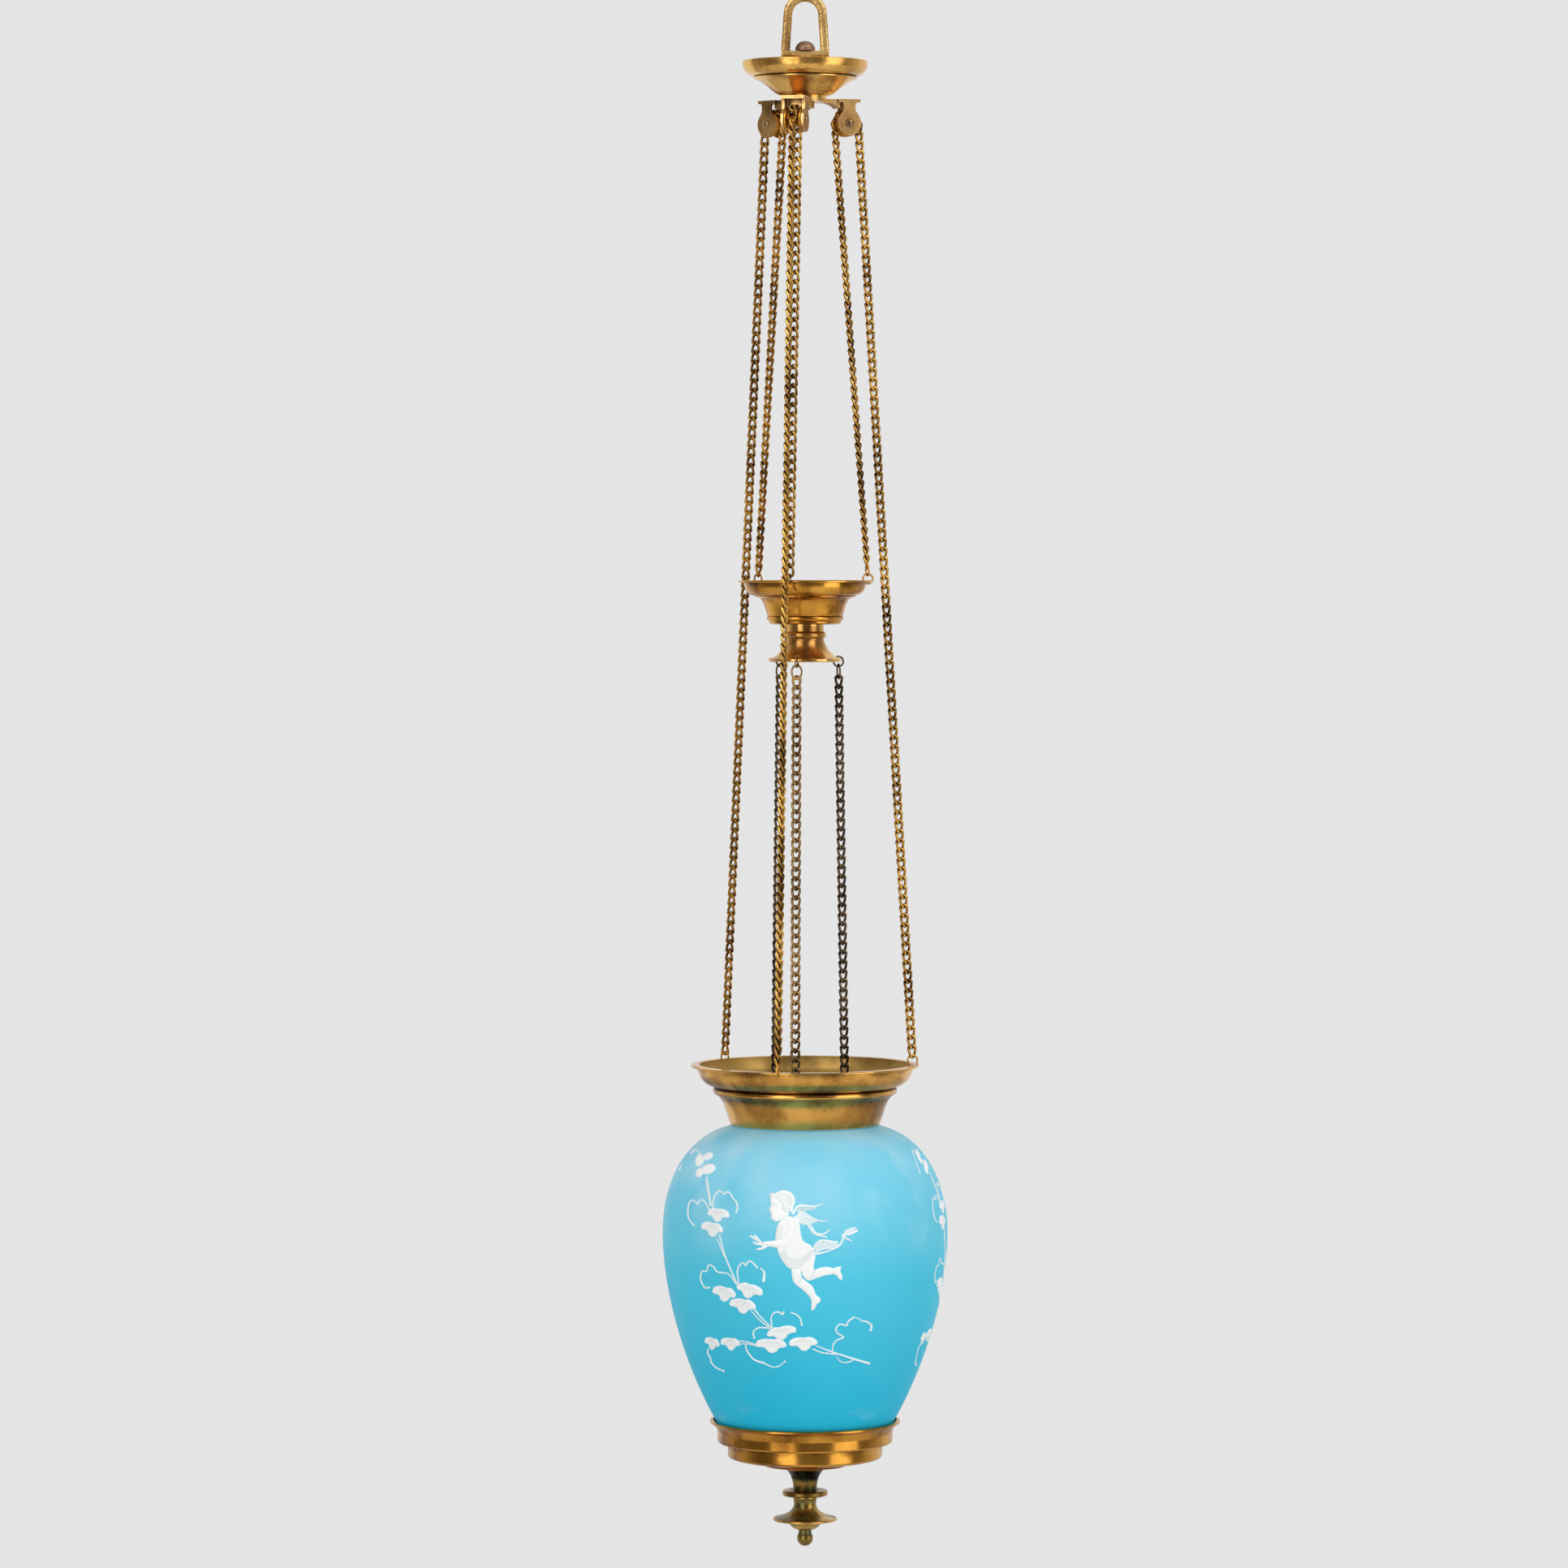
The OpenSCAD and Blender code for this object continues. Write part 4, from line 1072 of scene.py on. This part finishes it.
# %% [markdown]
# ## Flower sprays
# The sprays are made of a few brush marks that repeat: a stem of one or two thin strokes, tendrils in small
# scallops with a drop at the end, and bell flowers. One flower is drawn in a square of side one and is then
# scaled, tilted and sometimes mirrored. Its edge is thick and its middle thin, so the glass shows through.

# %% Lay the sprays
SPRAY_SPACING = 0.42
SPRAY_RISE = (-80, 54)
VEINS = (-0.3, -0.15, 0.0, 0.15, 0.3)
BELL = [(-0.5, 0.08), (-0.45, 0.31), (-0.29, 0.44), (-0.1, 0.48), (0.07, 0.44), (0.21, 0.47), (0.35, 0.37),
        (0.46, 0.2), (0.5, 0.0), (0.41, -0.13), (0.28, -0.15), (0.16, -0.4), (0.02, -0.5), (-0.12, -0.37),
        (-0.2, -0.16), (-0.34, -0.1), (-0.46, -0.08)]
PETAL = [(math.cos(a) / 2, math.sin(a) / 2) for a in np.linspace(0, 2 * math.pi, 10, endpoint=False)]


def placed(points, x, y, wide, high, tilt):
    """A small drawing scaled, tilted by an angle in degrees and moved. A negative width mirrors it."""
    cosine, sine = math.cos(math.radians(tilt)), math.sin(math.radians(tilt))
    return [(x + cosine * wide * a - sine * high * b, y + sine * wide * a + cosine * high * b)
            for a, b in points]


def bell(relief, x, y, wide, high, tilt):
    """A bell flower with fine veins."""
    relief.shape(placed(BELL, x, y, wide, high, tilt), lift=0.62, edge=1.1, dish=0.26)
    for side in VEINS:
        tip = -0.12 - 0.3 * (VEINS[-1] - abs(side))
        vein = [(0.35 * side, 0.38), (0.8 * side, 0.1), (1.05 * side, tip)]
        relief.cut(placed(vein, x, y, wide, high, tilt), 0.09, 0.22)


def tendril(relief, *points, thick=0.42):
    """A thin scalloped stroke that ends in a drop."""
    relief.stroke(points, 0.36, thick, 0.36)
    relief.stroke([points[-1], points[-1]], 0.62, 0.62, 0.5)


def spray(relief):
    """The tall spray on the left, with the low branches that run on under the figure."""
    # The bud at the top and its tendril
    for x, y, wide, high, tilt in ((-62, 45.6, 7, 4.6, 62), (-56.8, 48.4, 6.4, 3.4, 28),
                                   (-56.8, 41.6, 9, 5.2, 24), (-62, 39, 5.4, 3.8, 58)):
        relief.shape(placed(PETAL, x, y, wide, high, tilt), lift=0.6, edge=1.1, dish=0.1)
    tendril(relief, (-61.6, 49), (-64.4, 50.4), (-66.6, 48.6), (-68.4, 48), (-71.6, 44.4), (-74.2, 38.4),
            thick=0.36)

    # A stem, two tendrils and the two upper flowers
    relief.stroke([(-57.6, 37.6), (-56.4, 29), (-55, 21.6)], 0.34, 0.42)
    relief.stroke([(-58.6, 36), (-57, 29.4), (-55.4, 21.6)], 0.2, 0.3)
    tendril(relief, (-54.2, 20), (-53.2, 26.7), (-50.8, 30), (-48.8, 29.8), (-47.7, 28.7), (-46, 29.8),
            (-44, 29.6), (-42, 26.3), (-40.4, 25), (-39.6, 22), (-40.2, 18.9))
    tendril(relief, (-56, 19.4), (-59, 23.6), (-61.6, 24), (-63.2, 21.9), (-65.6, 23.5), (-68, 21.6),
            (-68.8, 15.9), (-67.8, 12), (-65.2, 9.3))
    bell(relief, -50.8, 16.6, -12.8, 8, -4)
    bell(relief, -54.4, 8, 12.8, 8.6, -4)

    # A stem, its tendrils and the three middle flowers
    relief.stroke([(-50, 5), (-47, -6.3), (-39.6, -23.4)], 0.36, 0.4)
    relief.stroke([(-51.6, 3.4), (-49.2, -2.4), (-47, -7.4)], 0.22, 0.3)
    tendril(relief, (-38.6, -23.6), (-39.6, -15), (-37.6, -10.9), (-36, -10.4), (-34.7, -11.6),
            (-33.6, -9.6), (-31.6, -9.2), (-28.2, -12.4))
    relief.stroke([(-26, -13), (-24, -15.6), (-24.4, -20.3)], 0.35, 0.85)
    tendril(relief, (-40.6, -22.6), (-44.8, -17.4), (-51.2, -16.6), (-53.4, -14), (-56.4, -13),
            (-57.8, -16.8), (-60.4, -17.2), (-61.2, -22), (-58.8, -26.7), (-56.2, -26.3))
    bell(relief, -47.4, -29.4, 13.8, 9.2, -6)
    bell(relief, -32.6, -26.7, -15.4, 9, -14)
    bell(relief, -36.6, -35.9, 15.4, 9, -4)

    # A stem, its tendrils and the five low flowers
    relief.stroke([(-30.4, -36.6), (-26, -42), (-19.8, -48)], 0.4, 0.34)
    relief.stroke([(-32, -37.6), (-27.6, -43), (-21, -48.2)], 0.24, 0.3)
    tendril(relief, (-19.4, -48.2), (-20, -42), (-18.2, -39.2), (-15.6, -38.6), (-13.4, -39.9),
            (-12.8, -38.9))
    tendril(relief, (-8.4, -38.7), (-5, -40.2), (-3, -42.6), (-2.2, -46))
    tendril(relief, (-20.6, -48.6), (-26.3, -48.2), (-29.6, -50), (-30.4, -52.4), (-29.8, -54.6))
    bell(relief, -13.8, -51.2, -17.4, 8.4, 10)
    bell(relief, -20, -59, 18, 8.8, 2)
    bell(relief, -1.2, -57.6, 16.6, 8.6, 4)
    bell(relief, -43.8, -59.4, 11.4, 8, 2)
    bell(relief, -54.6, -60.4, 8.8, 7.8, -8)

    # What joins the low flowers, and the tendrils below them
    relief.stroke([(-38.4, -57.2), (-34, -57.4), (-28.4, -59)], 0.36, 0.3)
    relief.stroke([(-38.6, -59), (-34, -58.6), (-28.4, -59.4)], 0.24, 0.26)
    tendril(relief, (-34.8, -58.6), (-34.4, -62), (-31.4, -66.6), (-28.6, -68.6), (-24.6, -69.6),
            thick=0.6)
    tendril(relief, (-24, -70), (-18.6, -72), (-14.6, -70.8), (-12, -68.4), thick=0.24)
    tendril(relief, (-57, -64), (-57.2, -67), (-55.6, -69.6), (-55, -72.4), (-52.2, -75.2),
            (-47.8, -76.6))

    # The branch that runs to the right
    relief.stroke([(6.4, -58.8), (16, -62.8), (26, -66.6), (39.4, -71.6)], 0.3, 0.6)
    relief.stroke([(4.2, -60.6), (10, -63), (20, -64.2)], 0.3, 0.4)
    tendril(relief, (15.8, -62.6), (16.2, -58.4), (18.6, -55.4), (22.2, -54), (18.6, -51.4),
            (17.8, -48.6), (20, -46), (24, -46.9), (24.8, -44.6), (28, -42.3))
    relief.stroke([(28, -42.3), (30.4, -42.8), (32.9, -44.7)], 0.2, 0.24)
    tendril(relief, (32.9, -44.7), (36, -45.4), (38.6, -48), (38, -50.6), thick=0.6)
    relief.stroke([(18, -65.8), (21, -69), (25.2, -69.2), (28.8, -67.4)], 0.2, 0.34)


enamel("enamel_spray", (-80, 32), SPRAY_RISE, SPRAY_SPACING, spray)

# %% [markdown]
# ## Round the glass
# At the right edge of the photograph the tendrils of a second spray come into view, and the back is not seen
# at all. The same drawing is laid there again. The first spray was drawn as it looks from the front, so at
# the side of the glass it would be stretched. These two are wrapped round the glass instead.

# %% Wrap the spray round the right side and the back
SPRAY_LEAN = 0.12
REACH_LEFT, REACH_RIGHT = 50, 24

for place, middle in (("right", 110), ("back", 214)):
    turn = (middle - REACH_LEFT, middle + REACH_RIGHT)
    enamel("enamel_spray_" + place, turn, SPRAY_RISE, SPRAY_SPACING, spray, middle, SPRAY_LEAN)
